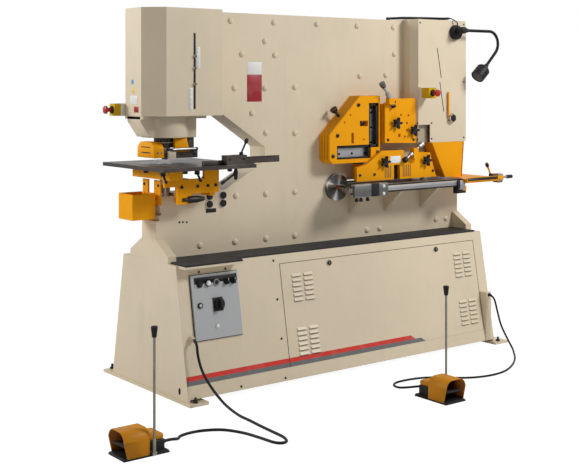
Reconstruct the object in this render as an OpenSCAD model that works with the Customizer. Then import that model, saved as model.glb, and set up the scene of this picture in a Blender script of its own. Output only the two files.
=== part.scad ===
// Hydraulic ironworker: punch, angle shear, bar shear, flat shear and notcher
// on one C-shaped plate body over a cabinet. Millimetres. X runs from the punch
// end to the notching end, Y from front to back, Z up from the floor. The origin
// is at the middle of the four floor anchor holes.

/* [Cabinet] */
// Length of the base cabinet
cab_l = 2290; // [1900:10:2700]
// Height of the cabinet's top above the floor
cab_h = 700; // [600:10:800]
// Width of the cabinet across its top
cab_top_w = 552; // [500:2:620]
// Width that the cabinet would have at the floor
cab_base_w = 802; // [700:2:900]
// Offset of the cabinet's middle plane from the anchor centre
mid_y = -27; // [-60:1:0]
// Thickness of the cabinet's sheet walls
cab_wall = 6; // [3:1:10]
// Thickness of the two end plates
end_t = 12; // [8:1:20]
// Height of the fascia's lower edge
fascia_z = 28; // [20:1:60]
// Thickness of the foot plates
foot_t = 15; // [10:1:25]
// Width of each foot plate along X
foot_w = 115; // [90:1:160]
// Length of each foot plate along Y
foot_l = 920; // [880:10:1100]
// Distance from a foot's left edge to its anchor holes
anchor_in = 45; // [30:1:60]
// Spacing of the anchor holes along Y
anchor_y = 880; // [760:10:1000]
// Radius of an anchor hole
anchor_r = 9; // [6:0.5:14]
// Left edge of the service door from the cabinet's left end
door_x = 667; // [600:1:700]
// Width of the service door
door_w = 1543; // [1400:1:1560]
// Height of the service door's lower edge along the fascia
door_z = 97; // [80:1:140]
// Length of the service door up the fascia
door_h = 562; // [450:1:580]
// Left edge of the control door from the cabinet's left end
ctl_x = 75; // [50:1:100]
// Width of the control door
ctl_w = 297; // [260:1:330]
// Height of the control door's lower edge along the fascia
ctl_z = 316; // [280:1:340]
// Length of the control door up the fascia
ctl_h = 336; // [300:1:350]
// How far the control shelf stands out in front of the cabinet's top
shelf_out = 77; // [50:1:100]
// Thickness of the rubber mat
mat_t = 10; // [4:1:14]

/* [Controls] */
// Height of the button row above the control door's lower edge
row_z = 288; // [270:1:292]
// Radius of a push button
button_r = 10; // [8:0.5:11]
// How far a push button stands out from the strip
button_out = 9; // [6:0.5:14]
// Travel of a push button
button_travel = 4; // [2:0.5:5]
// Radius of the main switch's plate
switch_r = 36; // [30:1:45]
// Radius of an emergency stop's mushroom
mushroom_r = 22; // [18:1:26]
// Travel of an emergency stop's mushroom
mushroom_travel = 6; // [3:0.5:8]

/* [Body] */
// Length of the body
body_l = 2290; // [2200:10:2400]
// Height of the body above the cabinet
body_h = 1346; // [1300:2:1450]
// Thickness over both plates
body_t = 145; // [135:1:170]
// Thickness of each plate
plate_t = 30; // [22:1:34]
// Width of the lining strip along the plates' edges
lining_t = 28; // [20:1:34]
// Depth of the throat from the left end
throat_x = 720; // [680:2:760]
// Height of the lower jaw above the cabinet
jaw_z = 356; // [340:1:366]
// Height of the upper jaw above the cabinet
upper_z = 775; // [765:1:800]
// Length of the jaw step under the bolster
step_x = 130; // [120:1:140]
// Height of the jaw step above the cabinet
step_z = 213; // [190:1:230]
// Radius of a tie bolt's head
tie_head_r = 17; // [14:0.5:20]
// Height of a tie bolt's head
tie_head_h = 10; // [6:1:14]
// Radius of a tie bolt's shank
tie_r = 10; // [8:0.5:12]
// Radius of a tie bolt's spacer tube between the plates
tie_spacer_r = 14; // [12:0.5:18]
// Height of the end flares above the cabinet
flare_z = 115; // [90:1:140]
// Width of the end flares at the cabinet
flare_w = 397; // [300:1:420]
// Thickness of the end flares
flare_t = 50; // [30:1:60]

/* [Punch] */
// Punch axis from the left end
punch_x = 100; // [96:1:104]
// Overall width of the punch casing and the shear cover
casing_w = 360; // [320:2:400]
// How far the punch casing stands out beyond the left end
casing_out = 96; // [90:1:110]
// Right edge of the punch casing
casing_x1 = 357; // [345:1:380]
// Chamfer of the punch casing's left corners
casing_cham = 96; // [60:1:110]
// Height of both casings' top above the body's top
casing_rise = 7; // [6:1:12]
// Thickness of the casing sheet
sheet_t = 4; // [2:0.5:6]
// Outer radius of the punch cylinder
pcyl_r = 125; // [115:1:130]
// How far the punch cylinder hangs below the jaw
pcyl_drop = 117; // [100:1:125]
// Radius of the punch ram
ram_r = 45; // [35:1:55]
// Radius of the punch's tip
punch_r = 14; // [8:0.5:18]
// Radius of the die column
die_r = 28.5; // [25:0.5:32]
// Radial clearance of the punch in the die
die_gap = 0.6; // [0.3:0.1:1.5]

/* [Punch table] */
// Left edge of the table
table_x0 = -105; // [-130:1:-90]
// Right edge of the table
table_x1 = 480; // [460:1:520]
// Front edge of the table from the body's middle plane
table_y0 = -326; // [-360:1:-310]
// Rear edge of the table from the body's middle plane
table_y1 = 322; // [300:1:360]
// Height of the table's top above the cabinet
table_z = 513; // [505:1:520]
// Thickness of the table
table_t = 20; // [15:1:25]
// Length of the ruler bar
ruler_l = 363; // [330:1:420]
// Height of the ruler bar
ruler_h = 36; // [30:1:40]

/* [Shears] */
// Pivot axis from the left end
pivot_x = 1248; // [1240:1:1256]
// Pivot axis above the cabinet
pivot_z = 327; // [320:1:334]
// Radius of the pivot pin's head
pivot_head_r = 81; // [70:1:90]
// Radius of the pivot pin
pivot_r = 60; // [50:1:65]
// Side clearance of the beam between the plates
beam_gap = 2; // [1:0.5:6]
// Thickness of the angle shear guard's stack
angle_guard_t = 95; // [80:1:110]
// How far the flat and bar shear guards stand out from the body
guard_out = 120; // [110:1:140]
// Reach of a star knob's lobes
knob_r = 34; // [28:1:40]
// Height of the shear bench above the cabinet
bench_z = 345; // [338:1:348]
// Depth of the shear bench in front of the body
bench_d = 185; // [150:1:210]
// Left edge of the shear cover
cover_x0 = 1804; // [1790:1:1820]
// Chamfer of the shear cover's corners along X
cover_cham_x = 30; // [20:1:40]
// Chamfer of the shear cover's corners along Y
cover_cham_y = 46; // [30:1:60]
// Height of the shear cover's lower edge above the cabinet
cover_z = 576; // [572:1:590]
// Radius of the shear cylinder
scyl_r = 95; // [80:1:100]

/* [Notcher] */
// Height of the notching table's top above the cabinet
notch_z = 340; // [334:1:344]
// Thickness of the notching table
notch_t = 25; // [18:1:30]
// How far the notching table reaches past the body
notch_out = 160; // [130:1:210]
// Width of the notching table
notch_w = 574; // [520:2:620]
// Radius of the stop rod
stop_r = 8; // [6:0.5:10]

/* [Lamp] */
// Radius of the lamp's magnet base
lamp_base_r = 47; // [40:1:55]
// Radius of the gooseneck
goose_r = 9; // [6:0.5:11]
// Bend radius of the gooseneck
goose_bend = 80; // [60:1:100]
// Radius of the lamp's head
lamp_r = 45; // [35:1:55]
// Length of the lamp's head
lamp_l = 119; // [100:1:140]
// Outer radius of the curly cord
curl_r = 9; // [6:0.5:12]

/* [Pedals] */
// Length of a pedal
pedal_l = 232; // [200:1:260]
// Width of a pedal
pedal_w = 145; // [130:1:180]
// Height of a pedal's hood
pedal_h = 124; // [110:1:150]
// Thickness of a pedal's shell
pedal_t = 4; // [3:0.5:6]
// Height of a pedal's rear box
pedal_box_h = 88; // [70:1:100]
// Height of the carrying rod's top
rod_h = 578; // [450:1:700]
// Radius of the carrying rod
rod_r = 6; // [4:0.5:8]
// Radius of the left pedal's cord
cord_l_r = 7; // [5:0.5:9]
// Radius of the right pedal's cord
cord_r_r = 6; // [4:0.5:8]

/* [Hidden] */
$fn = 48;
run_gap = 0.3;
lean = atan((cab_base_w - cab_top_w) / 2 / cab_h);
anchor_x = cab_l - 16;
cab_x0 = -anchor_x / 2 + anchor_in - 78;
cab_x1 = cab_x0 + cab_l;
front_foot_y = mid_y - cab_base_w / 2;
half_t = body_t / 2;
half_gap = half_t - plate_t;
half_c = casing_w / 2;
beam_half = half_gap - beam_gap;
casing_top = body_h + casing_rise;
guard_t = guard_out - angle_guard_t;
cream = [0.88, 0.84, 0.74];
yellow = [0.96, 0.66, 0.05];
steel = [0.55, 0.55, 0.57];
dark = [0.15, 0.15, 0.16];
red = [0.75, 0.08, 0.06];
black = [0.07, 0.07, 0.08];
// Tie bolt places, from the body's lower left corner
tie_places = [
  [72, 58], [281, 60], [514, 61], [730, 60], [940, 60],
  [521, 319], [730, 317], [940, 316],
  [730, 666], [940, 660], [631, 782],
  [511, 924], [723, 923], [940, 928],
  [562, 1115], [794, 1113], [723, 1192],
  for (x = [484, 787, 1105, 1420, 1720]) [x, body_h - 45],
  [1443, 995], [body_l - 633, 1002], [body_l - 561, 1133],
  [1501, 48], [1605, 49], [body_l - 196, 70], [body_l - 105, 70]
];
// Routes of the two pedal cords and of the lamp's cord, end to end
cord_l_route = [
  [-1121, -387.3, 326], [-1121, -395, 326], [-1121, -403, 326], [-1121, -426, 306], [-1119, -436, 250],
  [-1108, -456, 180], [-1097, -520, 110], [-1084, -620, 45], [-1076, -730, 13],
  [-1076, -830, 8], [-1085, -936, 7.5], [-1092, -1040, 7.5], [-1099, -1130, 7.5],
  [-1121, -1186, 7.5], [-1152, -1200, 7.5], [-1180, -1170, 7.5], [-1192, -1077, 7.5],
  [-1212, -968, 7.5], [-1262, -872, 7.5], [-1340, -826, 7.5], [-1410, -816, 7.5],
  [-1470, -830, 8], [-1510, -872, 14], [-1545, -901, 26], [-1571, -905.5, 30],
  [-1586, -905.5, 30], [-1601, -905.5, 30]
];
cord_r_route = [
  [1068, -427, 314], [1068, -435, 314], [1068, -443, 314], [1074, -468, 288], [1088, -478, 220],
  [1100, -500, 130], [1094, -560, 52], [1058, -630, 14], [1002, -690, 7],
  [912, -777, 6.5], [792, -867, 6.5], [659, -938, 6.5], [540, -964, 6.5],
  [422, -950, 6.5], [327, -903, 6.5], [237, -821, 6.5], [150, -768, 6.5],
  [50, -748, 6.5], [-36, -754, 6.5], [-84, -792, 7], [-96, -848, 10],
  [-74, -902, 20], [-50, -938, 28], [-47.5, -955, 30],
  [-47.5, -962, 30], [-47.5, -969, 30]
];

function step_to(a, b, t) = a + (b - a) * t;
function unit(v) = v / norm(v);
// A point of the smooth curve through p[i] and p[i + 1]
function curve(p, i, t) = let (
  a = p[max(i - 1, 0)], b = p[i], c = p[i + 1], d = p[min(i + 2, len(p) - 1)]
) 0.5 * (2 * b + (c - a) * t + (2 * a - 5 * b + 4 * c - d) * t * t
  + (3 * b - a - 3 * c + d) * t * t * t);
function curve_points(p, k) = concat(
  [for (i = [0 : len(p) - 2]) for (j = [0 : k - 1]) curve(p, i, j / k)],
  [p[len(p) - 1]]
);
function side_of(d) = unit(cross(d, abs(d[2]) > 0.9 * norm(d) ? [1, 0, 0] : [0, 0, 1]));

// A round tube swept along points with one radius for each point
module tube(p, r, sides) {
  n = len(p);
  dirs = [for (i = [0 : n - 1]) unit(p[min(i + 1, n - 1)] - p[max(i - 1, 0)])];
  rings = [for (i = [0 : n - 1]) for (s = [0 : sides - 1]) let (
    u = side_of(dirs[i]), v = cross(dirs[i], u), a = 360 * s / sides
  ) p[i] + r[i] * (u * cos(a) + v * sin(a))];
  walls = [for (i = [0 : n - 2]) for (s = [0 : sides - 1]) for (h = [0, 1]) let (
    a = i * sides + s, b = i * sides + (s + 1) % sides, c = a + sides, d = b + sides
  ) h == 0 ? [a, b, d] : [a, d, c]];
  ends = [[for (s = [0 : sides - 1]) sides - 1 - s],
          [for (s = [0 : sides - 1]) (n - 1) * sides + s]];
  polyhedron(points = rings, faces = concat(walls, ends), convexity = 10);
}

module slab(x, y, z) {
  translate([x[0], y[0], z[0]]) cube([x[1] - x[0], y[1] - y[0], z[1] - z[0]]);
}
module rod_x(x, y, z, r) {
  translate([x[0], y, z]) rotate([0, 90, 0]) cylinder(h = x[1] - x[0], r = r);
}
module rod_y(x, y, z, r) {
  translate([x, y[1], z]) rotate([90, 0, 0]) cylinder(h = y[1] - y[0], r = r);
}
module rod_z(x, y, z, r) {
  translate([x, y, z[0]]) cylinder(h = z[1] - z[0], r = r);
}
// A drawing in X and Z, as thick as the stretch y
module plate_y(y) {
  translate([0, y[1], 0]) rotate([90, 0, 0]) linear_extrude(y[1] - y[0]) children();
}
// A drawing in Y and Z, as thick as the stretch x
module plate_x(x) {
  translate([x[0], 0, 0]) rotate([90, 0, 90]) linear_extrude(x[1] - x[0]) children();
}
// Body frame: the cabinet's left end, the middle plane and the cabinet's top
module on_body() { translate([cab_x0, mid_y, cab_h]) children(); }
// Fascia frame: X along, Z up the leaning sheet, outward is -Y
module on_fascia() {
  translate([cab_x0, front_foot_y, 0]) rotate([-lean, 0, 0]) children();
}
module on_control() { on_fascia() translate([ctl_x, 0, ctl_z]) children(); }

/* Cabinet */
function cab_half(z) = cab_base_w / 2 - (cab_base_w - cab_top_w) / 2 * z / cab_h;
module cab_section(z0, z1, w) {
  polygon([[-cab_half(z0) + w, z0], [cab_half(z0) - w, z0],
           [cab_half(z1) - w, z1], [-cab_half(z1) + w, z1]]);
}
module foot(x) {
  difference() {
    translate([x, -foot_l / 2, 0]) cube([foot_w, foot_l, foot_t]);
    for (s = [-1, 1]) {
      translate([x + anchor_in, s * anchor_y / 2, -1]) cylinder(h = foot_t + 2, r = anchor_r);
    }
  }
}
shelf_t = 12;
shelf_x = [12, ctl_x + ctl_w + 6];
conduit_x = [cab_l - 75, cab_l - 30];
conduit_h = 330;
gland_x = 49;
gland_y = -360;
gland_z = 326;
module base_cabinet() color(cream) {
  foot(-anchor_x / 2 - anchor_in);
  foot(anchor_x / 2 - anchor_in);
  difference() {
    translate([cab_x0, mid_y, 0]) union() {
      difference() {
        plate_x([0, cab_l]) cab_section(fascia_z, cab_h, 0);
        plate_x([end_t, cab_l - end_t]) cab_section(fascia_z + cab_wall, cab_h - cab_wall, cab_wall);
      }
      plate_x([0, end_t]) cab_section(foot_t, fascia_z, 0);
      plate_x([cab_l - end_t, cab_l]) cab_section(foot_t, fascia_z, 0);
    }
    on_fascia() {
      translate([door_x - run_gap, -1, door_z - run_gap])
        cube([door_w + 2 * run_gap, cab_wall + 3, door_h + 2 * run_gap]);
      translate([ctl_x + 12, -1, ctl_z + 12]) cube([ctl_w - 24, cab_wall + 3, ctl_h - 24]);
    }
  }
  on_body() {
    slab(shelf_x, [-cab_top_w / 2 - shelf_out, -cab_top_w / 2 + 4], [-shelf_t, 0]);
    plate_x(conduit_x) polygon([
      [-cab_half(fascia_z) - 4, fascia_z - cab_h], [-cab_half(fascia_z) + 3, fascia_z - cab_h],
      [-cab_half(conduit_h) + 3, conduit_h - cab_h], [-cab_half(fascia_z) - 4, conduit_h - cab_h]]);
    rod_y(gland_x, [gland_y, -cab_half(gland_z) + 4], gland_z - cab_h, 16);
  }
}

/* Doors */
module louvre(x, z, w) {
  translate([x, 0, z]) rotate([90, 0, 90]) linear_extrude(w)
    polygon([[1, 0], [-7, 1], [-7, 4], [1, 20]]);
}
module service_door() color(cream) on_fascia() translate([door_x, 0, door_z]) {
  cube([door_w, cab_wall, door_h]);
  for (x = [75, 1353]) for (c = [0, 83]) for (z = [50, 346]) for (k = [0 : 5]) {
    louvre(x + c, z + 27 * k, 62);
  }
  for (x = [351, 1207]) {
    translate([x, 0, door_h - 28]) rotate([90, 0, 0]) cylinder(h = 6, r = 14);
  }
}
strip_z = row_z;
// A round thing standing on the control door, from depth y0 outwards by h
module on_door(x, z, y0, h, r) {
  translate([x - ctl_x, -y0, z]) rotate([90, 0, 0]) cylinder(h = h, r = r);
}
door_t = 12;
strip_t = 2;
strip_y = door_t + strip_t;
switch_x = 233;
switch_z = 174;
module control_door() color(cream) on_control() difference() {
  union() {
    translate([0, -door_t, 0]) cube([ctl_w, door_t - run_gap, ctl_h]);
    translate([18, -strip_y, strip_z - 16]) cube([ctl_w - 27, strip_t, 32]);
    on_door(117, switch_z + 4, door_t, 8, 12);
    on_door(213, 62, door_t, 5, 6);
    for (x = [176, 336]) on_door(x, strip_z, strip_y, 8, button_r);
    for (x = [124, 230]) on_door(x, strip_z, strip_y, 4, button_r + 4);
    on_door(switch_x, switch_z, door_t, 3, switch_r);
  }
  for (x = [124, 230]) {
    on_door(x, strip_z, strip_y - button_travel - 2, button_travel + 8, button_r + run_gap);
  }
}
module main_switch() color(red) on_control() translate([switch_x - ctl_x, -door_t - 3 - run_gap, switch_z])
  rotate([90, 0, 0]) {
    cylinder(h = 12, r = switch_r - 12);
    translate([-8, -switch_r + 14, 11]) cube([16, 2 * switch_r - 28, 22]);
  }
module push_button(x) {
  on_control() on_door(x, strip_z, strip_y - 1, button_out + 1, button_r);
}
module start_button() color(black) push_button(124);
module stop_button() color(black) push_button(230);
module mode_selector() color(black) on_control()
  translate([294 - ctl_x, -strip_y - run_gap, strip_z]) rotate([90, 0, 0]) {
    cylinder(h = 6, r = button_r);
    translate([-4, -button_r + 1, 5]) cube([8, 2 * button_r - 2, 12]);
  }
module tray_mat() color(black) on_body() {
  slab([flare_t + 2, body_l - flare_t - 2], [-cab_top_w / 2, -half_t], [0, mat_t]);
  slab([shelf_x[0] + 6, shelf_x[1] - 4], [-cab_top_w / 2 - shelf_out + 4, -flare_w / 2 - 2], [0, mat_t]);
}

/* Body */
upper_x1 = body_l - 20;
notch_x0 = body_l - 300;
notch_x1 = body_l + notch_out;
notch_floor = notch_z - notch_t;
notch_roof = cover_z + 14;
cyl_x = punch_x + pcyl_r + 10;
module body_outline() {
  polygon([
    [0, 0], [body_l, 0], [body_l, notch_floor], [notch_x0, notch_floor],
    [notch_x0, notch_roof], [upper_x1, notch_roof], [upper_x1, body_h], [0, body_h],
    [0, body_h - 90], [cyl_x, body_h - 90], [cyl_x, upper_z], [434, upper_z],
    [throat_x, 586], [throat_x, 511], [throat_x - 47, 478], [444, jaw_z],
    [step_x, jaw_z], [step_x, step_z], [0, step_z]
  ]);
}
// The space between the plates, inside the lining
module body_space() {
  t = lining_t;
  polygon([
    [t, t], [body_l - t, t], [body_l - t, notch_floor + 1], [notch_x0 + 1, notch_floor + 1],
    [notch_x0 + 1, notch_roof - 1], [upper_x1 - t, notch_roof - 1], [upper_x1 - t, body_h - t],
    [cyl_x + t, body_h - t], [cyl_x + t, upper_z + t], [434 + t / 2, upper_z + t],
    [throat_x + t, 586 + t / 2], [throat_x + t, 511 - t / 2], [throat_x - 40, 478 - t],
    [444 + t / 2, jaw_z - t], [step_x + t, jaw_z - t], [step_x + t, step_z - t], [t, step_z - t]
  ]);
}
angle_slot = 24;
angle_x = 1457;
angle_z = 561;
angle_leg_x = 1181;
angle_leg_z = 831;
module angle_slots(g) {
  translate([angle_x - angle_slot - g, angle_z - g])
    square([angle_slot + 2 * g, angle_leg_z - angle_z + 2 * g]);
  translate([angle_leg_x - g, angle_z - g])
    square([angle_x - angle_leg_x + 2 * g, angle_slot - 5 + 2 * g]);
}
flat_x = [1320, notch_x0 - 10];
flat_gap = 20;
bar_hole = [1661, 629];
module body_cuts() {
  angle_slots(0);
  translate([flat_x[0], bench_z]) square([flat_x[1] - flat_x[0], flat_gap]);
  translate([scyl_x - scyl_r - 8, scyl_z0 - 30]) square([2 * scyl_r + 16, scyl_z1 - scyl_z0 + 60]);
  translate([pivot_x, pivot_z]) circle(r = pivot_r + run_gap);
  for (p = tie_places) translate(p) circle(r = tie_r);
}
scyl_x = body_l - 240;
scyl_z0 = 800;
scyl_z1 = body_h - 106;
module frame_front_plate() color(cream) on_body() plate_y([-half_t, -half_gap]) difference() {
  body_outline();
  body_cuts();
}
module frame_rear_plate() color(cream) on_body() {
  plate_y([half_gap, half_t]) difference() {
    body_outline();
    body_cuts();
  }
  plate_y([-half_gap, half_gap]) difference() {
    body_outline();
    body_space();
  }
  for (x = [0, body_l - flare_t]) {
    plate_x([x, x + flare_t]) difference() {
      polygon([[-flare_w / 2, 0], [flare_w / 2, 0], [flare_w / 2, 38], [half_t, flare_z],
               [-half_t, flare_z], [-flare_w / 2, 38]]);
      translate([-half_t, -1]) square([body_t, flare_z + 2]);
    }
  }
}
module tie_bolts() color(cream) on_body() for (p = tie_places) {
  rod_y(p[0], [-half_t - 1, half_t + 1], p[1], tie_r);
  rod_y(p[0], [-half_gap, half_gap], p[1], tie_spacer_r);
  for (s = [0, 1]) translate([p[0], s == 0 ? -half_t : half_t, p[1]])
    rotate([s == 0 ? 90 : -90, 0, 0]) {
      cylinder(h = tie_head_h * 0.4, r = tie_head_r);
      translate([0, 0, tie_head_h * 0.4]) cylinder(h = tie_head_h * 0.6, r1 = tie_head_r, r2 = tie_head_r * 0.5);
    }
}

/* Punch */
module casing_plan(w) {
  c = casing_cham;
  polygon([
    [casing_x1 - w, -half_c + w], [-casing_out + c, -half_c + w], [-casing_out + w, -half_c + c],
    [-casing_out + w, half_c - c], [-casing_out + c, half_c - w], [casing_x1 - w, half_c - w]
  ]);
}
module punch_casing() color(cream) on_body() {
  difference() {
    translate([0, 0, upper_z]) linear_extrude(casing_top - upper_z) casing_plan(0);
    translate([0, 0, upper_z - 1]) linear_extrude(casing_top - sheet_t - upper_z + 1) casing_plan(sheet_t);
    slab([0, casing_x1 + 1], [-half_t, half_t], [upper_z - 1, body_h]);
    slab([172, 182], [-half_c - 1, -half_c + sheet_t + 1], [812, 1219]);
  }
  for (z = [946, 1032, 1096]) rod_y(177, [-half_c - 12, -half_c + 1], z, 7);
}
module punch_cylinder() color(cream) on_body() difference() {
  union() {
    rod_z(punch_x, 0, [upper_z - pcyl_drop, body_h - 90 - 0.3], pcyl_r);
    slab([-casing_out + 4, 308], [-half_c + casing_cham - 10, half_c - casing_cham + 10], [upper_z - 16, upper_z]);
  }
  rod_z(punch_x, 0, [upper_z - pcyl_drop - 1, upper_z + 380], ram_r + run_gap);
}
nut_z = upper_z - pcyl_drop - run_gap;
module punch_ram() color(dark) on_body() {
  rod_z(punch_x, 0, [nut_z - 56, upper_z + 320], ram_r);
  rod_z(punch_x, 0, [nut_z - 28, nut_z], ram_r + 13);
  rod_z(punch_x, 0, [nut_z - 56, nut_z - 28], ram_r + 7);
}
tip_z = table_z + 22;
module punch_tool() color(steel) on_body() {
  rod_z(punch_x, 0, [tip_z + 35, nut_z - 56], die_r);
  rod_z(punch_x, 0, [tip_z, tip_z + 36], punch_r);
}
strip_z0 = table_z + 32;
strip_z1 = strip_z0 + 45;
strip_x = [170, 262];
hood_x = [-19, 41];
module stripper_bracket() color(dark) on_body() {
  slab(strip_x, [-62, 62], [strip_z0, strip_z1]);
  slab([punch_x + pcyl_r + 1, strip_x[1]], [-40, 40], [strip_z1, upper_z - 16]);
  for (y = [-78, 62]) slab([hood_x[1] + run_gap, strip_x[1]], [y, y + 16], [strip_z0, strip_z1]);
}
hood_half = 90;
hood_z = [550, 635];
module stripper_hood() color(yellow) on_body() difference() {
  plate_x(hood_x) polygon([
    [-hood_half, hood_z[0]], [hood_half, hood_z[0]], [hood_half, hood_z[1] - 30],
    [hood_half - 30, hood_z[1]], [-hood_half + 30, hood_z[1]], [-hood_half, hood_z[1] - 30]]);
  slab([hood_x[0] + 4, hood_x[1] - 4], [-hood_half + 30, hood_half - 30], [hood_z[0] - 1, hood_z[1] - 8]);
}
die_x = step_x - die_r - 0.5;
bolster_x = 22;
bolster_top = 340;
module bolster() color(cream) on_body() difference() {
  slab([bolster_x, step_x], [-half_t, half_t], [step_z, bolster_top]);
  plate_y([-half_t - 1, half_t + 1]) polygon([
    [bolster_x - 1, step_z + 30], [bolster_x + 14, step_z + 30], [bolster_x - 1, bolster_top - 40]]);
}
module die() color(steel) on_body() difference() {
  rod_z(die_x, 0, [bolster_top, table_z], die_r);
  rod_z(punch_x, 0, [bolster_top + 30, table_z + 1], punch_r + die_gap);
  slab([punch_x - die_r - 30, punch_x + punch_r], [-punch_r - 2, punch_r + 2], [bolster_top + 10, bolster_top + 60]);
}
ruler_x0 = 290;
ruler_y = table_y0 + 30;
ruler_z = table_z + 4;
module punch_table() color(dark) on_body() {
  difference() {
    slab([table_x0, table_x1], [table_y0, table_y1], [table_z - table_t, table_z]);
    rod_z(die_x, 0, [table_z - table_t - 1, table_z + 1], die_r + run_gap);
  }
  slab([ruler_x0, table_x1], [ruler_y - 10, ruler_y + 10], [table_z, ruler_z]);
  difference() {
    slab([ruler_x0, ruler_x0 + 130], [ruler_y - 26, ruler_y + 26], [table_z, ruler_z + ruler_h + 12]);
    slab([ruler_x0 - 1, ruler_x0 + 131], [ruler_y - 6 - run_gap, ruler_y + 6 + run_gap],
      [ruler_z, ruler_z + ruler_h + 2 * run_gap]);
  }
}
module ruler_bar() color(steel) on_body()
  slab([ruler_x0, ruler_x0 + ruler_l], [ruler_y - 6, ruler_y + 6], [ruler_z + run_gap, ruler_z + run_gap + ruler_h]);
module ruler_lever() color(black) on_body() translate([ruler_x0 + 110, ruler_y, ruler_z + ruler_h + 12 + run_gap]) {
  cylinder(h = 14, r = 11);
  translate([0, 0, 8]) rotate([0, 28, 0]) cylinder(h = 88, r1 = 5, r2 = 7);
}
bar_z = [359, 438];
bar_y = -half_c;
leg_x1 = 160;
leg_z = 305;
module table_bracket() color(yellow) on_body() {
  under = table_z - table_t;
  slab([73, 334], [bar_y, bar_y + 20], bar_z);
  slab([leg_x1 - 40, leg_x1], [bar_y + 20, -half_t], [leg_z, bar_z[1]]);
  slab([290, 320], [bar_y + 20, -half_t], [jaw_z - 16, bar_z[1]]);
  slab([240, 334], [bar_y, bar_y + 20], [bar_z[1], under]);
  slab([-8, 73], [bar_y, bar_y + 20], [400, under]);
  slab([-20, -8], [bar_y - 70, half_c - 40], [442, under]);
  slab([-8, 60], [bar_y - 70, bar_y - 58], [442, under]);
  slab([73, leg_x1], [bar_y, bar_y + 20], [leg_z, bar_z[0]]);
  rod_x([leg_x1 - 1, leg_x1 + 76], bar_y + 11, leg_z + 23, 9);
}
module table_lever(x, y) {
  on_body() translate([x, y, table_z - table_t - run_gap]) {
    translate([0, 0, -24]) cylinder(h = 24, r = 14);
    translate([0, 0, -16]) rotate([112, 0, -20]) cylinder(h = 96, r1 = 6, r2 = 9);
  }
}
module table_lever_left() color(black) table_lever(-62, -250);
module table_lever_right() color(black) table_lever(140, -262);
chute_z = [300, 431];
chute_half = 34;
module slug_chute() color(cream) on_body() {
  plate_x([bolster_x - 8, bolster_x]) difference() {
    translate([-98, chute_z[0]]) square([188, chute_z[1] - chute_z[0]]);
    translate([-30, bolster_top + 20]) square([60, chute_z[1]]);
  }
  plate_y([-chute_half, chute_half]) polygon([
    [bolster_x - 8, bolster_top + 16], [bolster_x - 8, bolster_top + 12],
    [bolster_x - 70, bolster_top - 14], [bolster_x - 70, bolster_top - 10]]);
}
slug_x = [-142, -4];
slug_half = 75;
slug_z = [226, 363];
module slug_box() color(dark) on_body() {
  difference() {
    slab(slug_x, [-slug_half, slug_half], slug_z);
    slab([slug_x[0] + 3, slug_x[1] - 3], [-slug_half + 3, slug_half - 3], [slug_z[0] + 3, slug_z[1] + 1]);
    slab([slug_x[1] - 4, slug_x[1] + 1], [-chute_half - 1, chute_half + 1], [bolster_top + 2, slug_z[1] + 1]);
  }
  for (y = [-64, 40]) slab([slug_x[1], bolster_x - 8], [y, y + 24], [304, 324]);
}
estop_z = 808;
estop_y = 115;
estop2_x = 1870;
estop2_z = 890;
module estop_housings() color(yellow) on_body() difference() {
  union() {
    estop_boxes();
    rod_x([-168, -160], estop_y, estop_z, 15);
    rod_y(estop2_x, [-half_c - 98, -half_c - 90], estop2_z, 15);
  }
  rod_x([-169, -152 + 8 - mushroom_travel], estop_y, estop_z, 11 + run_gap);
  rod_y(estop2_x, [-half_c - 99, -half_c - 82 + 8 - mushroom_travel], estop2_z, 11 + run_gap);
}
module estop_boxes() {
  front = estop_y - 28;
  back_x = -casing_out + front - (half_c - casing_cham);
  translate([0, 0, estop_z - 33]) linear_extrude(66) polygon([
    [-160, front], [back_x, front], [back_x + 8, front + 8], [back_x, front + 8],
    [back_x, estop_y + 28], [-160, estop_y + 28]]);
  slab([estop2_x - 33, estop2_x + 33], [-half_c - 90, -half_c], [estop2_z - 33, estop2_z + 33]);
}
module mushroom(h) {
  cylinder(h = h - 14, r = 11);
  translate([0, 0, h - 18]) cylinder(h = 5, r1 = 12, r2 = mushroom_r);
  translate([0, 0, h - 13]) cylinder(h = 8, r = mushroom_r);
  translate([0, 0, h - 5]) cylinder(h = 5, r1 = mushroom_r, r2 = mushroom_r - 8);
}
module estop_left_button() color(red) on_body()
  translate([-168 - run_gap, estop_y, estop_z]) rotate([0, -90, 0]) mushroom(40);
module estop_right_button() color(red) on_body()
  translate([estop2_x, -half_c - 98 - run_gap, estop2_z]) rotate([90, 0, 0]) mushroom(45);

/* Shears */
module cover_plan(w) {
  x0 = cover_x0 + w;
  x1 = body_l - w;
  y = half_c - w;
  polygon([
    [x0 + cover_cham_x, -y], [x1 - cover_cham_x, -y], [x1, -y + cover_cham_y], [x1, y - cover_cham_y],
    [x1 - cover_cham_x, y], [x0 + cover_cham_x, y], [x0, y - cover_cham_y], [x0, -y + cover_cham_y]
  ]);
}
gauge_x = body_l - 198;
gauge_z = [cover_z + 165, cover_z + 318];
module shear_cover() color(cream) on_body() {
  difference() {
    translate([0, 0, cover_z]) linear_extrude(casing_top - cover_z) cover_plan(0);
    translate([0, 0, cover_z - 1]) linear_extrude(casing_top - sheet_t - cover_z + 1) cover_plan(sheet_t);
    slab([cover_x0 - 1, cover_x0 + sheet_t + 1], [-half_t, half_t], [cover_z - 1, body_h]);
    slab([cover_x0 + 32, cover_x0 + 132], [-half_c - 1, -half_c + sheet_t + 1], [cover_z - 1, cover_z + 113]);
  }
  rod_y(body_l - 167, [-half_c - 22, -half_c + 1], cover_z + 152, 28);
  rod_z(gauge_x, -half_c - 9, gauge_z, 6);
  for (z = [gauge_z[0] + 4, gauge_z[1] - 14]) slab([gauge_x - 6, gauge_x + 6], [-half_c - 9, -half_c], [z, z + 10]);
}
beam_end = body_l - 78;
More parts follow.
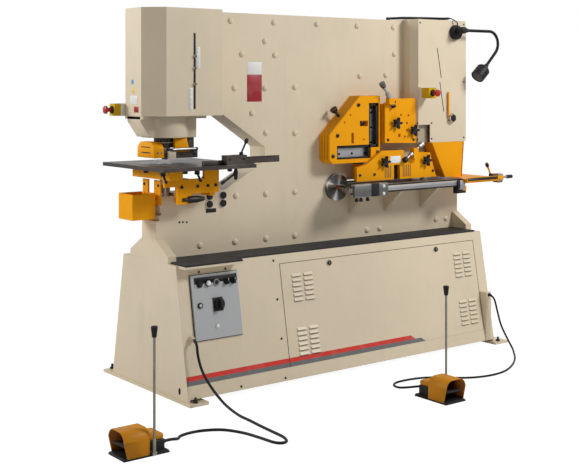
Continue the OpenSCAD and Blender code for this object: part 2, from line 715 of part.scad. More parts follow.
beam_top = 690;
module beam_outline() {
  polygon([
    [1160, 300], [1160, 560], [1380, 860], [1530, 860], [1600, 720], [notch_x0 - 140, beam_top],
    [beam_end, beam_top], [beam_end, 440], [notch_x0, 440],
    [flat_x[1], bench_z + flat_gap + 4], [1340, bench_z + flat_gap + 4],
    [1300, 240], [1200, 220]
  ]);
}
punch_w = 96;
notch_punch_x = body_l - 130;
module shear_beam() color(cream) on_body() {
  difference() {
    plate_y([-beam_half, beam_half]) beam_outline();
    plate_y([-beam_half - 1, beam_half + 1]) angle_slots(3);
    rod_y(pivot_x, [-half_gap, half_gap], pivot_z, pivot_r + run_gap);
  }
  slab([notch_punch_x - punch_w / 2, notch_punch_x + punch_w / 2], [-36, 36], [notch_z + 28, 440]);
}
module pivot_pin() color(steel) on_body() {
  rod_y(pivot_x, [-half_t, half_t], pivot_z, pivot_r);
  rod_y(pivot_x, [-half_t - 22, -half_t], pivot_z, pivot_head_r);
  rod_y(pivot_x, [half_t, half_t + 12], pivot_z, pivot_head_r);
}
module shear_cylinder() color(cream) on_body() difference() {
  union() {
    rod_z(scyl_x, 0, [scyl_z0, scyl_z1], scyl_r);
    slab([scyl_x - scyl_r - 8, scyl_x + scyl_r + 8], [-half_t, half_t], [scyl_z1, scyl_z1 + 30]);
    slab([scyl_x - scyl_r - 8, scyl_x + scyl_r + 8], [-half_t, half_t], [scyl_z0 - 30, scyl_z0]);
  }
  rod_z(scyl_x, 0, [scyl_z0 - 31, scyl_z0 + 320], 35 + run_gap);
}
module shear_rod() color(steel) on_body() {
  rod_z(scyl_x, 0, [beam_top + 32, scyl_z0 + 250], 35);
  rod_z(scyl_x, 0, [beam_top + run_gap, beam_top + 32], 12);
}
ag_x = [1124, 1522];
ag_z = [474, 874];
module angle_guard_outline() {
  polygon([
    [ag_x[0] + 237, ag_z[1]], [ag_x[1], ag_z[1]], [ag_x[1], ag_z[0] + 51], [ag_x[1] - 73, ag_z[0]],
    [ag_x[0] + 26, ag_z[0]], [ag_x[0], ag_z[0] + 25], [ag_x[0], ag_z[0] + 172]
  ]);
}
module angle_shear_guard() color(yellow) on_body() {
  plate_y([-half_t - angle_guard_t, -half_t]) difference() {
    angle_guard_outline();
    translate([1433, 562]) square([81, 269]);
    translate([angle_leg_x, 498]) square([1449 - angle_leg_x, 82]);
    for (p = [[1286, 761], [1239, 717], [1393, 612]]) translate(p) circle(r = 6);
    translate([1294, 590]) square([19, 63]);
    translate([1361, 692]) square([64, 32]);
  }
  translate([1236, -half_t - angle_guard_t / 2, 752]) rotate([0, -43.9, 0]) {
    cylinder(h = 44, r = 9);
    translate([0, 0, 42]) cylinder(h = 22, r1 = 18, r2 = 24);
  }
}
module shear_blades() color(steel) on_body() {
  slab([angle_x, 1506], [-half_t - 60, -half_t], [569, 794]);
  slab([1204, 1449], [-half_t - 60, -half_t], [498, angle_z]);
}
spindle_a = atan2(-129, 90);
module bar_shear_guard() color(yellow) on_body() {
  front = -half_t - guard_out;
  plate_y([front, front + guard_t]) difference() {
    polygon([[1541, 824], [1607, 854], [1818 - 20, 858], [1818 - 20, 578], [1541, 587]]);
    for (p = [[1674, 755], [1737, 751], [1724, 704], [1724, 661], [1707, 621]]) translate(p) circle(r = 7);
    translate([bar_hole[0] - 9, bar_hole[1] - 9]) square(18);
  }
  slab([1541, 1571], [front + guard_t, -half_t], [587, 824]);
  slab([1768, 1798], [front + guard_t, -half_t], [580, 850]);
  translate([1574, front, 848]) difference() {
    slab([-22, 22], [-28, 6], [-26, 12]);
    translate([0, -14, 0]) rotate([0, 90 - spindle_a, 0]) translate([0, 0, -60]) cylinder(h = 120, r = 7 + run_gap);
  }
}
module angle_spindle() color(steel) on_body()
  translate([1574, -half_t - guard_out - 14, 848]) rotate([0, 90 - spindle_a, 0]) {
    translate([0, 0, -118]) cylinder(h = 166, r = 7);
    translate([0, 0, -128]) cylinder(h = 14, r = 13, $fn = 6);
    translate([0, 0, 40]) cylinder(h = 14, r = 13, $fn = 6);
  }
flat_guard_z = bench_z + 16;
module flat_shear_guard() color(yellow) on_body() {
  front = -half_t - guard_out;
  plate_y([front, front + guard_t]) difference() {
    polygon([
      [1315, flat_guard_z], [1615, flat_guard_z], [1615, 450], [1665, 450], [1665, flat_guard_z],
      [1976, flat_guard_z], [1923, 515], [1818, 522], [1699, 478], [1699, 538], [1516, 539],
      [1387, 460], [1315, 445]]);
    for (k = [0 : 3]) translate([1540 + 15 * k, 374]) square([5, 73]);
    for (k = [0 : 4]) translate([1690 + 15 * k, 374]) square([5, 73]);
  }
  slab([1385, 1415], [front + guard_t, -half_t], [flat_guard_z + 4, 460]);
  slab([1560, 1610], [front + guard_t, -half_t], [flat_guard_z + 4, 520]);
  slab([1850, 1900], [front + guard_t, -half_t], [flat_guard_z + 4, 500]);
  translate([1775, front, 529]) difference() {
    slab([-20, 20], [-30, 6], [-48, 20]);
    translate([0, -15, 0]) rotate([0, 57, 0]) translate([0, 0, -60]) cylinder(h = 120, r = 7 + run_gap);
  }
}
module flat_spindle() color(steel) on_body()
  translate([1775, -half_t - guard_out - 15, 529]) rotate([0, 57, 0]) {
    translate([0, 0, -92]) cylinder(h = 174, r = 7);
    translate([0, 0, 70]) cylinder(h = 14, r = 13, $fn = 6);
    translate([0, 0, -104]) cylinder(h = 22, r = 14);
  }
knob_lobe_r = 7.5;
module star_knob(x, z) {
  on_body() translate([x, -half_t - guard_out - run_gap, z]) rotate([90, 0, 0]) {
    cylinder(h = 13, r = 8);
    translate([0, 0, 12]) linear_extrude(16) {
      circle(r = knob_r / 2);
      for (k = [0 : 4]) rotate(72 * k) hull() {
        circle(r = knob_lobe_r);
        translate([knob_r - knob_lobe_r, 0]) circle(r = knob_lobe_r);
      }
    }
  }
}
module star_knob_1() color(black) star_knob(1626, 706);
module star_knob_2() color(black) star_knob(1772, 659);
module star_knob_3() color(black) star_knob(1528, 473);
module star_knob_4() color(black) star_knob(1881, 468);
bench_x = [1200, body_l - 140];
bench_t = 45;
rail_x = [1205, 2152];
rail_z = [296, 330];
module shear_bench() color(cream) on_body() {
  translate([0, 0, bench_z - bench_t]) linear_extrude(bench_t) polygon([
    [bench_x[0], -half_t - bench_d], [bench_x[1], -half_t - bench_d], [bench_x[1], -half_t],
    [pivot_x + pivot_head_r + 6, -half_t], [pivot_x + pivot_head_r + 6, -half_t - 28]]);
  for (x = [1350, 1640, 1950]) plate_x([x, x + 30]) polygon([
    [-half_t - bench_d + 20, bench_z - bench_t], [-half_t, bench_z - bench_t], [-half_t, bench_z - 190]]);
  slab(rail_x, [-half_t - bench_d - 12, -half_t - bench_d], rail_z);
}
module shear_fence() color(steel) on_body() difference() {
  slab([1215, 1475], [-half_t - bench_d - 36, -half_t - bench_d - run_gap], [rail_z[0] - 16, rail_z[1] + 26]);
  slab([1214, 1476], [-half_t - bench_d - 12 - run_gap, -half_t - bench_d + 1], [rail_z[0] - run_gap, rail_z[1] + run_gap]);
}
ng_x = [body_l - 337, body_l - 47];
ng_z = [344, 575.7];
ng_d = 80;
// Reach of the guard from its hinge line, so that it clears the bench as it lifts
ng_swing = ng_z[1] - bench_z - 0.7;
module notching_guard() color(yellow) on_body() difference() {
  intersection() {
    plate_y([-half_c, -half_c + ng_d]) polygon([
      [ng_x[0], ng_z[1]], [ng_x[1], ng_z[1]], [ng_x[1] - 19, ng_z[0]], [ng_x[0] + 116, ng_z[0] + 8]]);
    rod_x([ng_x[0] - 1, ng_x[1] + 1], -half_c, ng_z[1], ng_swing);
  }
  plate_y([-half_c + 5, -half_c + ng_d + 1]) polygon([
    [ng_x[0] + 7, ng_z[1] - 5], [ng_x[1] - 6, ng_z[1] - 5], [ng_x[1] - 25, ng_z[0] - 1], [ng_x[0] + 123, ng_z[0] - 1]]);
}
die_cut = punch_w + 10;
module notch_table() color(yellow) on_body() {
  difference() {
    translate([0, 0, notch_floor]) linear_extrude(notch_t) polygon([
      [notch_x0 + 10, -half_t], [bench_x[1] + 5, -half_t], [bench_x[1] + 5, -notch_w / 2],
      [notch_x1, -notch_w / 2], [notch_x1, notch_w / 2], [bench_x[1] + 5, notch_w / 2],
      [bench_x[1] + 5, half_t], [notch_x0 + 10, half_t]]);
    slab([notch_punch_x - die_cut / 2, notch_punch_x + die_cut / 2], [-40, 40], [notch_floor - 1, notch_z + 1]);
  }
  slab([bench_x[1] + 5, notch_x1 + 45], [-notch_w / 2 - 6, -notch_w / 2], [notch_z - 16, notch_z + 9]);
  plate_y([-16, 16]) polygon([[body_l, notch_floor], [notch_x1 - 20, notch_floor], [body_l, notch_floor - 130]]);
  difference() {
    slab([notch_x1, notch_x1 + 45], [stop_y - 25, stop_y + 25], [notch_z - 30, notch_z + 20]);
    rod_x([notch_x1 + 4, notch_x1 + 46], stop_y, notch_z - 5, stop_r + run_gap);
  }
  rod_z(notch_x1 - 44, stop_y, [notch_z, notch_z + 22], 12);
  translate([notch_x1 - 44, stop_y, notch_z + 16]) rotate([0, -28, 0]) cylinder(h = 88, r1 = 5, r2 = 8);
}
stop_y = -notch_w / 2 + 25;
module notch_stop() color(black) on_body() {
  rod_x([notch_x1 + 5, notch_x1 + 156], stop_y, notch_z - 5, stop_r);
  rod_x([notch_x1 + 110, notch_x1 + 156], stop_y, notch_z - 5, stop_r + 4);
}

/* Lamp */
lamp_x = body_l - 135;
lamp_z = 1277;
goose_y = -half_c - 68;
goose_z = 1288;
goose_x = lamp_x + 255;
goose_end = 118;
goose_lap = 4;
lamp_ball_r = 13;
module lamp_base() color(black) on_body() {
  rod_y(lamp_x, [-half_c - 30, -half_c], lamp_z, lamp_base_r);
  rod_y(lamp_x, [goose_y - 24, -half_c - 30], goose_z, 22);
  rod_x([lamp_x, lamp_x + 53], goose_y, goose_z, 14);
  rod_x([lamp_x + 53, goose_x + goose_lap], goose_y, goose_z, goose_r - 0.6);
  translate([goose_x, goose_y, goose_z - goose_bend]) rotate([90, 0, 0]) rotate([0, 0, -45])
    rotate_extrude(angle = 135) translate([goose_bend, 0]) circle(r = goose_r);
  translate([goose_x, goose_y, goose_z - goose_bend]) rotate([0, 45, 0]) translate([goose_bend, 0, -goose_end])
    cylinder(h = goose_end + goose_lap, r = goose_r - 0.6);
  translate([goose_x + lamp_tip, goose_y, goose_z - lamp_drop]) sphere(r = lamp_ball_r);
}
lamp_tip = goose_bend * sin(45) - goose_end * sin(45);
lamp_drop = goose_bend + goose_bend * sin(45) + goose_end * sin(45);
module lamp_head() color(black) on_body()
  translate([goose_x + lamp_tip, goose_y, goose_z - lamp_drop])
    rotate([0, 229, 0]) {
      translate([0, 0, lamp_ball_r + run_gap]) cylinder(h = lamp_l - lamp_ball_r, r = lamp_r);
    }
lamp_route = [
  [lamp_x, -half_c - 24, lamp_z + lamp_base_r], [lamp_x, -half_c - 24, lamp_z + lamp_base_r + 14],
  [lamp_x - 8, -half_c - 16, casing_top - 4], [lamp_x - 26, -half_c + 6, casing_top + 12],
  [lamp_x - 60, -half_c + 18, casing_top + curl_r + 2], [lamp_x - 99, -half_c + 24, casing_top + curl_r + 1],
  [1950, -half_c + 50, casing_top + curl_r + 1], [1850, -half_c + 84, casing_top + curl_r + 1],
  [1790, -half_c + 104, casing_top + curl_r], [1730, -half_c + 122, casing_top + curl_r - 4],
  [1696, -half_c + 130, casing_top + curl_r - 5]
];
lamp_radii = [3.5, 3.5, 3.5, 3.5, 3.5, curl_r, curl_r, curl_r, curl_r, curl_r, curl_r];
module lamp_cord() color(black) on_body() tube(lamp_route, lamp_radii, 8);

/* Pedals */
hood_l = 128;
// One pedal with its open end at the origin, its rear towards +X, its rod at -Y
module pedal() {
  w = pedal_w / 2;
  difference() {
    union() {
      slab([0, pedal_l], [-w, w], [0, 8]);
      plate_x([0, hood_l]) difference() {
        union() {
          translate([-w, 8]) square([2 * w, pedal_h - 8 - 46]);
          translate([-w + 46, 8]) square([2 * w - 92, pedal_h - 8]);
          for (s = [-1, 1]) translate([s * (w - 46), pedal_h - 46]) circle(r = 46);
        }
        translate([-w + pedal_t, 7]) square([2 * (w - pedal_t), pedal_h - 7 - 46]);
        translate([-w + 46, 7]) square([2 * w - 92, pedal_h - pedal_t - 7]);
        for (s = [-1, 1]) translate([s * (w - 46), pedal_h - 46]) circle(r = 46 - pedal_t);
      }
      slab([hood_l - 1, pedal_l], [-w, w], [7, pedal_box_h]);
    }
    slab([hood_l - 20, hood_l + 2], [-w + pedal_t + 6, w - pedal_t - 6], [8, 60]);
  }
  rod_x([pedal_l - 1, pedal_l + 18], 0, 30, 11);
  rod_z(hood_l + 20, -w - rod_r, [6, rod_h - 50], rod_r);
  slab([hood_l + 8, hood_l + 32], [-w - 2 * rod_r - 2, -w + 1], [8, 34]);
  translate([hood_l + 20, -w - rod_r, rod_h - 50]) cylinder(h = 50, r1 = 11, r2 = 16);
}
module treadle() {
  w = pedal_w / 2 - pedal_t;
  translate([hood_l - 14, 0, 44]) {
    rod_y(0, [-w + run_gap, w - run_gap], 0, 5);
    rotate([0, 8, 0]) slab([-hood_l + 26, 0], [-w + 14, w - 14], [-4, 4]);
  }
}
module left_place() { translate([-1851, -905.5, 0]) children(); }
module right_place() { translate([-47.5, -1219, 0]) rotate([0, 0, 90]) children(); }
module pedal_left() color(yellow) left_place() pedal();
module pedal_right() color(yellow) right_place() pedal();
module treadle_left() color(black) left_place() treadle();
module treadle_right() color(black) right_place() treadle();
module cord_left() color(dark) tube(curve_points(cord_l_route, 2),
  [for (i = [0 : 2 * (len(cord_l_route) - 1)]) cord_l_r], 8);
module cord_right() color(dark) tube(curve_points(cord_r_route, 2),
  [for (i = [0 : 2 * (len(cord_r_route) - 1)]) cord_r_r], 8);

/* Inside */
module power_pack() color(steel) translate([cab_x0, mid_y, fascia_z + cab_wall]) {
  slab([1150, 1950], [-170, 170], [0, 300]);
  rod_z(1400, 0, [300, 312], 120);
  rod_z(1400, 0, [312, 560], 95);
  slab([1600, 1800], [-70, 70], [300, 420]);
}

base_cabinet();
service_door();
control_door();
main_switch();
start_button();
stop_button();
mode_selector();
tray_mat();
frame_front_plate();
frame_rear_plate();
tie_bolts();
punch_casing();
punch_cylinder();
punch_ram();
punch_tool();
stripper_bracket();
stripper_hood();
bolster();
die();
punch_table();
table_bracket();
table_lever_left();
table_lever_right();
ruler_bar();
ruler_lever();
slug_chute();
slug_box();
estop_housings();
estop_left_button();
estop_right_button();
shear_cover();
shear_beam();
pivot_pin();
shear_cylinder();
shear_rod();
angle_shear_guard();
shear_blades();
angle_spindle();
bar_shear_guard();
flat_shear_guard();
flat_spindle();
star_knob_1();
star_knob_2();
star_knob_3();
star_knob_4();
shear_bench();
shear_fence();
notching_guard();
notch_table();
notch_stop();
lamp_base();
lamp_head();
lamp_cord();
pedal_left();
pedal_right();
treadle_left();
treadle_right();
cord_left();
cord_right();
power_pack();
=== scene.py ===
"""Paint, fittings, cords and stage of a hydraulic ironworker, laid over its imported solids."""

import math

import bmesh
import bpy
from bpy.props import FloatProperty, FloatVectorProperty, IntProperty, PointerProperty
from mathutils import Matrix, Vector


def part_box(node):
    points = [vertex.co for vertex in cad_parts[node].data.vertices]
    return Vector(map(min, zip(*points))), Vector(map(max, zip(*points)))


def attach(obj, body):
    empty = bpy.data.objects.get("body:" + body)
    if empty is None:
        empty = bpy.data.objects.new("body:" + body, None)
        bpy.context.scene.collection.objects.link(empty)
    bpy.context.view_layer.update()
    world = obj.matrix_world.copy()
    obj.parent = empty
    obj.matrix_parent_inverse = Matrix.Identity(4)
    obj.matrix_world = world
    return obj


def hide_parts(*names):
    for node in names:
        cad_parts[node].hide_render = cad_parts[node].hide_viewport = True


bl_info = {
    "name": "Hydraulic ironworker",
    "version": (1, 0, 0),
    "blender": (4, 5, 0),
    "location": "3D View > Sidebar > Ironworker",
    "description": "Builds the paint, fittings, cords and stage of a hydraulic ironworker",
    "category": "Object",
}

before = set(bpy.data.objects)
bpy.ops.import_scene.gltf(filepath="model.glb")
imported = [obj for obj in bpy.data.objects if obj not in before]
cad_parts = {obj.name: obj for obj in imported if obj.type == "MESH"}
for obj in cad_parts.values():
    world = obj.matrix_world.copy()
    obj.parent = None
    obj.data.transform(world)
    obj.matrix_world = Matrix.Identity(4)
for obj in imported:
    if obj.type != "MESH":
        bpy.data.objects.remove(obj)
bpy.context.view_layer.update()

# Pieces are modelled in millimetres from one of the machine's own corners, and are then seated there
LEFT_END, _, CABINET_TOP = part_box("frame_front_plate")[0]
MIDDLE = (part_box("frame_rear_plate")[0].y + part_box("frame_rear_plate")[1].y) / 2
MILLIMETRES = Matrix.Scale(0.001, 4)
BODY = Matrix.Translation((LEFT_END, MIDDLE, CABINET_TOP)) @ MILLIMETRES

# The cabinet's front sheet leans back as it climbs, from its foot in front of the middle plane
FRONT_FOOT = 0.401
LEAN = math.atan(0.125 / 0.700)
FASCIA = Matrix.Translation((LEFT_END, MIDDLE - FRONT_FOOT, 0)) @ Matrix.Rotation(-LEAN, 4, "X") @ MILLIMETRES

# The left pedal lies along the machine, and the right one is turned square to it
QUARTER_TURN = Matrix.Rotation(math.radians(90), 4, "Z")
LEFT_PEDAL = Matrix.Translation((-1.851, -0.9055, 0)) @ MILLIMETRES
RIGHT_PEDAL = Matrix.Translation((-0.0475, -1.219, 0)) @ QUARTER_TURN @ MILLIMETRES

# Planes of the body, in millimetres from its middle plane and the cabinet's top
PLATE_FACE = -72.5
CASING_FACE = -180
GUARD_FACE = -192.5
ANGLE_FACE = -167.5
TABLE_TOP = 513

# Places on the leaning sheet, in millimetres from its lower left corner: planes are in front of it
DOOR_X, DOOR_Z = (667, 2210), (97, 659)
CONTROL_FACE = -12
ROW_FACE = -14
SWITCH_FACE = -17
SWITCH = (233, 490)
OPERATOR_ROW = 604
START_X, PILOT_X, STOP_X, MODE_X, RANGE_X = 124, 176, 230, 294, 336


# ---------------------------------------------------------------- settings


class StageSettings(bpy.types.PropertyGroup):
    """Camera and lights"""

    lens: FloatProperty(
        name="Lens", description="Focal length on a 36 mm wide sensor",
        default=69.8, min=20, max=200, unit="CAMERA",
    )
    rise: FloatProperty(
        name="Rise", description="Shift of the level camera's lens, negative where it looks lower",
        default=-0.2594,
    )
    eye: FloatVectorProperty(
        name="Eye", description="Place of the camera",
        default=(-4.253, -5.285, 1.650), unit="LENGTH", subtype="XYZ",
    )
    heading: FloatProperty(
        name="Heading", description="Direction that the camera looks in, turned from straight ahead",
        default=math.radians(-37.53), unit="ROTATION", subtype="ANGLE",
    )
    front_light: FloatProperty(
        name="Front light", description="Power of the soft light in front",
        default=212, min=0, unit="POWER",
    )
    end_light: FloatProperty(
        name="End light", description="Power of the soft light at the left end",
        default=125, min=0, unit="POWER",
    )
    sky: FloatProperty(
        name="Sky", description="Strength of the even light all round", default=0.28, min=0, max=2,
    )


class PaintSettings(bpy.types.PropertyGroup):
    """The machine's colours"""

    beige: FloatVectorProperty(
        name="Beige paint", description="Colour of the body, the covers and the cabinet",
        subtype="COLOR", size=3, default=(0.73, 0.62, 0.455), min=0, max=1,
    )
    yellow: FloatVectorProperty(
        name="Yellow paint", description="Colour of the guards and brackets",
        subtype="COLOR", size=3, default=(0.92, 0.38, 0.002), min=0, max=1,
    )
    grey: FloatVectorProperty(
        name="Grey paint", description="Colour of the control door",
        subtype="COLOR", size=3, default=(0.40, 0.41, 0.42), min=0, max=1,
    )
    stripe_red: FloatVectorProperty(
        name="Red stripe", description="Colour of the upper stripe on the cabinet",
        subtype="COLOR", size=3, default=(0.66, 0.035, 0.025), min=0, max=1,
    )
    stripe_grey: FloatVectorProperty(
        name="Grey stripe", description="Colour of the lower stripe on the cabinet",
        subtype="COLOR", size=3, default=(0.15, 0.155, 0.16), min=0, max=1,
    )
    black: FloatVectorProperty(
        name="Black parts", description="Colour of knobs, rubber and levers",
        subtype="COLOR", size=3, default=(0.012, 0.012, 0.014), min=0, max=1,
    )
    wear: FloatProperty(
        name="Wear", description="How much dust and handling the paint shows", default=1.0, min=0, max=2,
    )


class TrimSettings(bpy.types.PropertyGroup):
    """Sizes of the small fittings in millimetres, and the turns of the curly cord"""

    stripe_low: FloatProperty(
        name="Stripe foot", description="Lower edge of the grey stripe on the cabinet",
        default=97, min=60, max=200,
    )
    stripe_high: FloatProperty(
        name="Stripe height", description="Height of each stripe on the cabinet",
        default=24, min=10, max=40,
    )
    screw: FloatProperty(
        name="Panel screw", description="Radius of a sheet panel's screw head",
        default=6.5, min=3, max=12,
    )
    curls: IntProperty(
        name="Curls", description="Turns of the lamp's curly cord", default=56, min=10, max=90,
    )


# ---------------------------------------------------------------- finishes


class Wire:
    """A shader socket that takes part in sums"""

    def __init__(self, finish, socket):
        self.finish = finish
        self.socket = socket

    def sum(self, operation, first, second):
        """One step of shader maths"""
        return self.finish.node("ShaderNodeMath", {"operation": operation}, [first, second])

    def __add__(self, other):
        return self.sum("ADD", self, other)

    __radd__ = __add__

    def __sub__(self, other):
        return self.sum("SUBTRACT", self, other)

    def __rsub__(self, other):
        return self.sum("SUBTRACT", other, self)

    def __mul__(self, other):
        return self.sum("MULTIPLY", self, other)

    __rmul__ = __mul__

    def __pow__(self, other):
        return self.sum("POWER", self, other)

    def ramp(self, low, high):
        """Nothing at low and one at high"""
        return self.finish.node(
            "ShaderNodeMapRange", {"interpolation_type": "SMOOTHSTEP"},
            {"Value": self, "From Min": low, "From Max": high},
        )

    def wave(self, kind="SINE"):
        """A sine or cosine between nothing and one"""
        return self.finish.node("ShaderNodeMath", {"operation": kind}, [self]) * 0.5 + 0.5


# Radius in metres over which the light seems to round a sharp edge
PAINT_EDGE = 0.003
METAL_EDGE = 0.0015
PLASTIC_EDGE = 0.0012


class Finish:
    """One material, built up from its nodes"""

    def __init__(self, name):
        self.material = bpy.data.materials.new(name)
        self.material.use_nodes = True
        self.tree = self.material.node_tree
        self.shader = self.tree.nodes["Principled BSDF"]
        self.place = self.node("ShaderNodeTexCoord", output="Object")

    def node(self, kind, settings=None, values=None, output=0):
        """Any node: its settings first, then the values or links of its sockets"""
        made = self.tree.nodes.new(kind)
        for key, value in (settings or {}).items():
            setattr(made, key, value)
        pairs = values.items() if isinstance(values, dict) else enumerate(values or [])
        for key, value in pairs:
            self.feed(made.inputs[key], value)
        return Wire(self, made.outputs[output])

    def feed(self, socket, value):
        """Links a wire to a socket, or sets the socket's own value"""
        if isinstance(value, Wire):
            self.tree.links.new(value.socket, socket)
        elif socket.type == "RGBA":
            socket.default_value = (*value[:3], 1)
        else:
            socket.default_value = value

    def axis(self, letter):
        """The place on the piece along X, Y or Z"""
        return self.node("ShaderNodeSeparateXYZ", None, [self.place], output=letter)

    def noise(self, scale, detail=3.0, rough=0.55, stretch=None, warp=0.0):
        """Clouds over the piece, which may be drawn out along an axis"""
        where = self.place
        if stretch:
            where = self.node("ShaderNodeVectorMath", {"operation": "MULTIPLY"}, [self.place, stretch])
        return self.node("ShaderNodeTexNoise", None, {
            "Vector": where, "Scale": scale, "Detail": detail, "Roughness": rough, "Distortion": warp,
        })

    def cells(self, scale):
        """The distance to the nearest of many scattered points"""
        return self.node("ShaderNodeTexVoronoi", None, {"Vector": self.place, "Scale": scale})

    def blend(self, mask, first, second):
        """A colour between two others"""
        return self.node(
            "ShaderNodeMix", {"data_type": "RGBA"}, {0: mask, 6: first, 7: second}, output=2,
        )

    def dents(self, height, strength, distance, edge=0.0):
        """A normal that follows a height, with its sharp edges rounded for the light"""
        values = {"Strength": strength, "Distance": distance, "Height": height}
        if edge:
            values["Normal"] = self.node("ShaderNodeBevel", {"samples": 4}, {"Radius": edge})
        return self.node("ShaderNodeBump", None, values)

    def surface(self, shine=0.35, **values):
        """Feeds the surface shader, and hands the material over"""
        self.shader.inputs["Specular IOR Level"].default_value = shine
        for key, value in values.items():
            self.feed(self.shader.inputs[key.replace("_", " ")], value)
        return self.material


def shade(colour, factor):
    """A colour made darker or lighter"""
    return tuple(min(1.0, part * factor) for part in colour)


def painted(name, colour, rough=0.42, coat=0.2, dust=(0.40, 0.34, 0.26), wear=1.0, shine=0.35):
    """Sprayed paint with a faint orange peel, thin dust and marks of handling"""
    f = Finish(name)
    cloud = f.noise(1.3, 4, 0.6, warp=0.4)
    grime = f.noise(6.5, 6, 0.68, stretch=(1, 1, 0.45)).ramp(0.52, 0.8)
    streak = f.noise(26, 3, 0.6, stretch=(1, 1, 0.05)).ramp(0.52, 0.8)
    tone = f.blend(cloud.ramp(0.3, 0.7), shade(colour, 0.955), shade(colour, 1.03))
    tone = f.blend(grime * 0.14 * wear, tone, dust)
    tone = f.blend(streak * 0.05 * wear, tone, shade(dust, 0.75))
    fleck = f.cells(95).ramp(0.06, 0.04) * f.noise(9, 2).ramp(0.56, 0.66)
    tone = f.blend(fleck * 0.3 * wear, tone, shade(dust, 0.5))
    return f.surface(
        Base_Color=tone, Roughness=rough + grime * 0.12 + cloud * 0.06,
        Normal=f.dents(f.noise(340, 2, 0.5), 0.05, 0.0006, PAINT_EDGE),
        Coat_Weight=coat, Coat_Roughness=0.22, shine=shine,
    )


def machined(name, colour, rough=0.3, along=(1, 1, 1)):
    """Ground or milled steel: its grain runs one way, under handling stains and a little oil"""
    f = Finish(name)
    grain = f.noise(70, 3, 0.6, stretch=along)
    stain = f.noise(9, 5, 0.62).ramp(0.45, 0.75)
    tone = f.blend(grain, shade(colour, 0.78), shade(colour, 1.15))
    tone = f.blend(stain * 0.45, tone, shade(colour, 0.55))
    return f.surface(
        Base_Color=tone, Metallic=0.9, Roughness=rough + grain * 0.1 + stain * 0.16,
        Normal=f.dents(grain, 0.18, 0.0004, METAL_EDGE),
    )


def blackened(name, colour, rough=0.45):
    """Oiled black steel, brighter where work slides over it"""
    f = Finish(name)
    rub = f.noise(5, 5, 0.6, warp=0.6).ramp(0.45, 0.72)
    scratch = f.noise(55, 3, 0.7, stretch=(0.08, 1, 1)).ramp(0.6, 0.72)
    tone = f.blend(rub * 0.6, colour, shade(colour, 2.4))
    tone = f.blend(scratch * 0.4, tone, (0.34, 0.33, 0.32))
    return f.surface(
        Base_Color=tone, Metallic=0.7, Roughness=rough - rub * 0.14,
        Normal=f.dents(scratch, 0.12, 0.0003, METAL_EDGE),
    )


def moulded(name, colour, rough=0.42, coat=0.0, shine=0.22):
    """Moulded plastic with a fine spark-eroded grain, polished where hands touch it"""
    f = Finish(name)
    pits = f.noise(420, 2, 0.6)
    worn = f.noise(14, 4, 0.6).ramp(0.45, 0.7)
    tone = f.blend(worn * 0.35, colour, shade(colour, 1.7))
    return f.surface(
        Base_Color=tone, Roughness=rough + pits * 0.1 - worn * 0.06,
        Normal=f.dents(pits, 0.16, 0.0003, PLASTIC_EDGE), Coat_Weight=coat, shine=shine,
    )


def ribbed_rubber(name, colour):
    """The tray's rubber mat, ribbed along the machine"""
    f = Finish(name)
    pitch = 0.006
    ribs = (f.axis("Y") * (2 * math.pi / pitch)).wave()
    dust = f.noise(8, 5, 0.6).ramp(0.4, 0.8)
    tone = f.blend(dust * 0.5, colour, (0.05, 0.047, 0.043))
    return f.surface(Base_Color=tone, Roughness=0.62 + dust * 0.2, Normal=f.dents(ribs, 0.6, 0.0012))


def turned_face_painted_reflection(name, colour, centre):
    """A lathe-turned disc, whose rings stand 1.2 mm apart, with a bow tie of painted reflection across them
    """
    f = Finish(name)
    x = f.axis("X") - centre.x
    z = f.axis("Z") - centre.z
    rings = (((x * x + z * z) ** 0.5) * 5200).wave()
    turn = f.node("ShaderNodeMath", {"operation": "ARCTAN2"}, [z, x])
    # Painted reflection: the colour turns bright and dark by angle round the centre, as light would on turned
    # rings
    bow = (turn * 4 + 1.2).wave("COSINE") ** 4
    tone = f.blend(bow * 0.9, shade(colour, 0.14), shade(colour, 1.5))
    tone = f.blend(rings * 0.25, tone, shade(colour, 0.5))
    return f.surface(
        Base_Color=tone, Metallic=1.0, Roughness=0.22 + rings * 0.08,
        Normal=f.dents(rings, 0.2, 0.0003, METAL_EDGE),
    )


def cable_sheath(name, colour):
    """A soft black sheath with a dull, scuffed skin"""
    f = Finish(name)
    scuff = f.noise(60, 4, 0.65).ramp(0.5, 0.75)
    tone = f.blend(scuff * 0.5, colour, shade(colour, 3.0))
    return f.surface(
        Base_Color=tone, Roughness=0.42 + scuff * 0.25, Normal=f.dents(f.noise(300), 0.12, 0.0003), shine=0.2,
    )


def printed(name, colour, rough=0.35):
    """A printed or anodised field with a thin film of dust"""
    f = Finish(name)
    dust = f.noise(12, 4, 0.6).ramp(0.45, 0.8)
    tone = f.blend(dust * 0.2, colour, (0.4, 0.36, 0.3))
    return f.surface(
        Base_Color=tone, Roughness=rough + dust * 0.2, Normal=f.dents(f.noise(500), 0.04, 0.0002),
    )


def glazed(name, colour):
    """A lamp's lens: clear ribs over a bright reflector"""
    f = Finish(name)
    pitch = 0.004
    ribs = (f.axis("X") * (2 * math.pi / pitch)).wave()
    tone = f.blend(ribs, shade(colour, 0.8), colour)
    return f.surface(
        Base_Color=tone, Metallic=0.3, Roughness=0.12 + ribs * 0.1, Normal=f.dents(ribs, 0.3, 0.0006),
    )


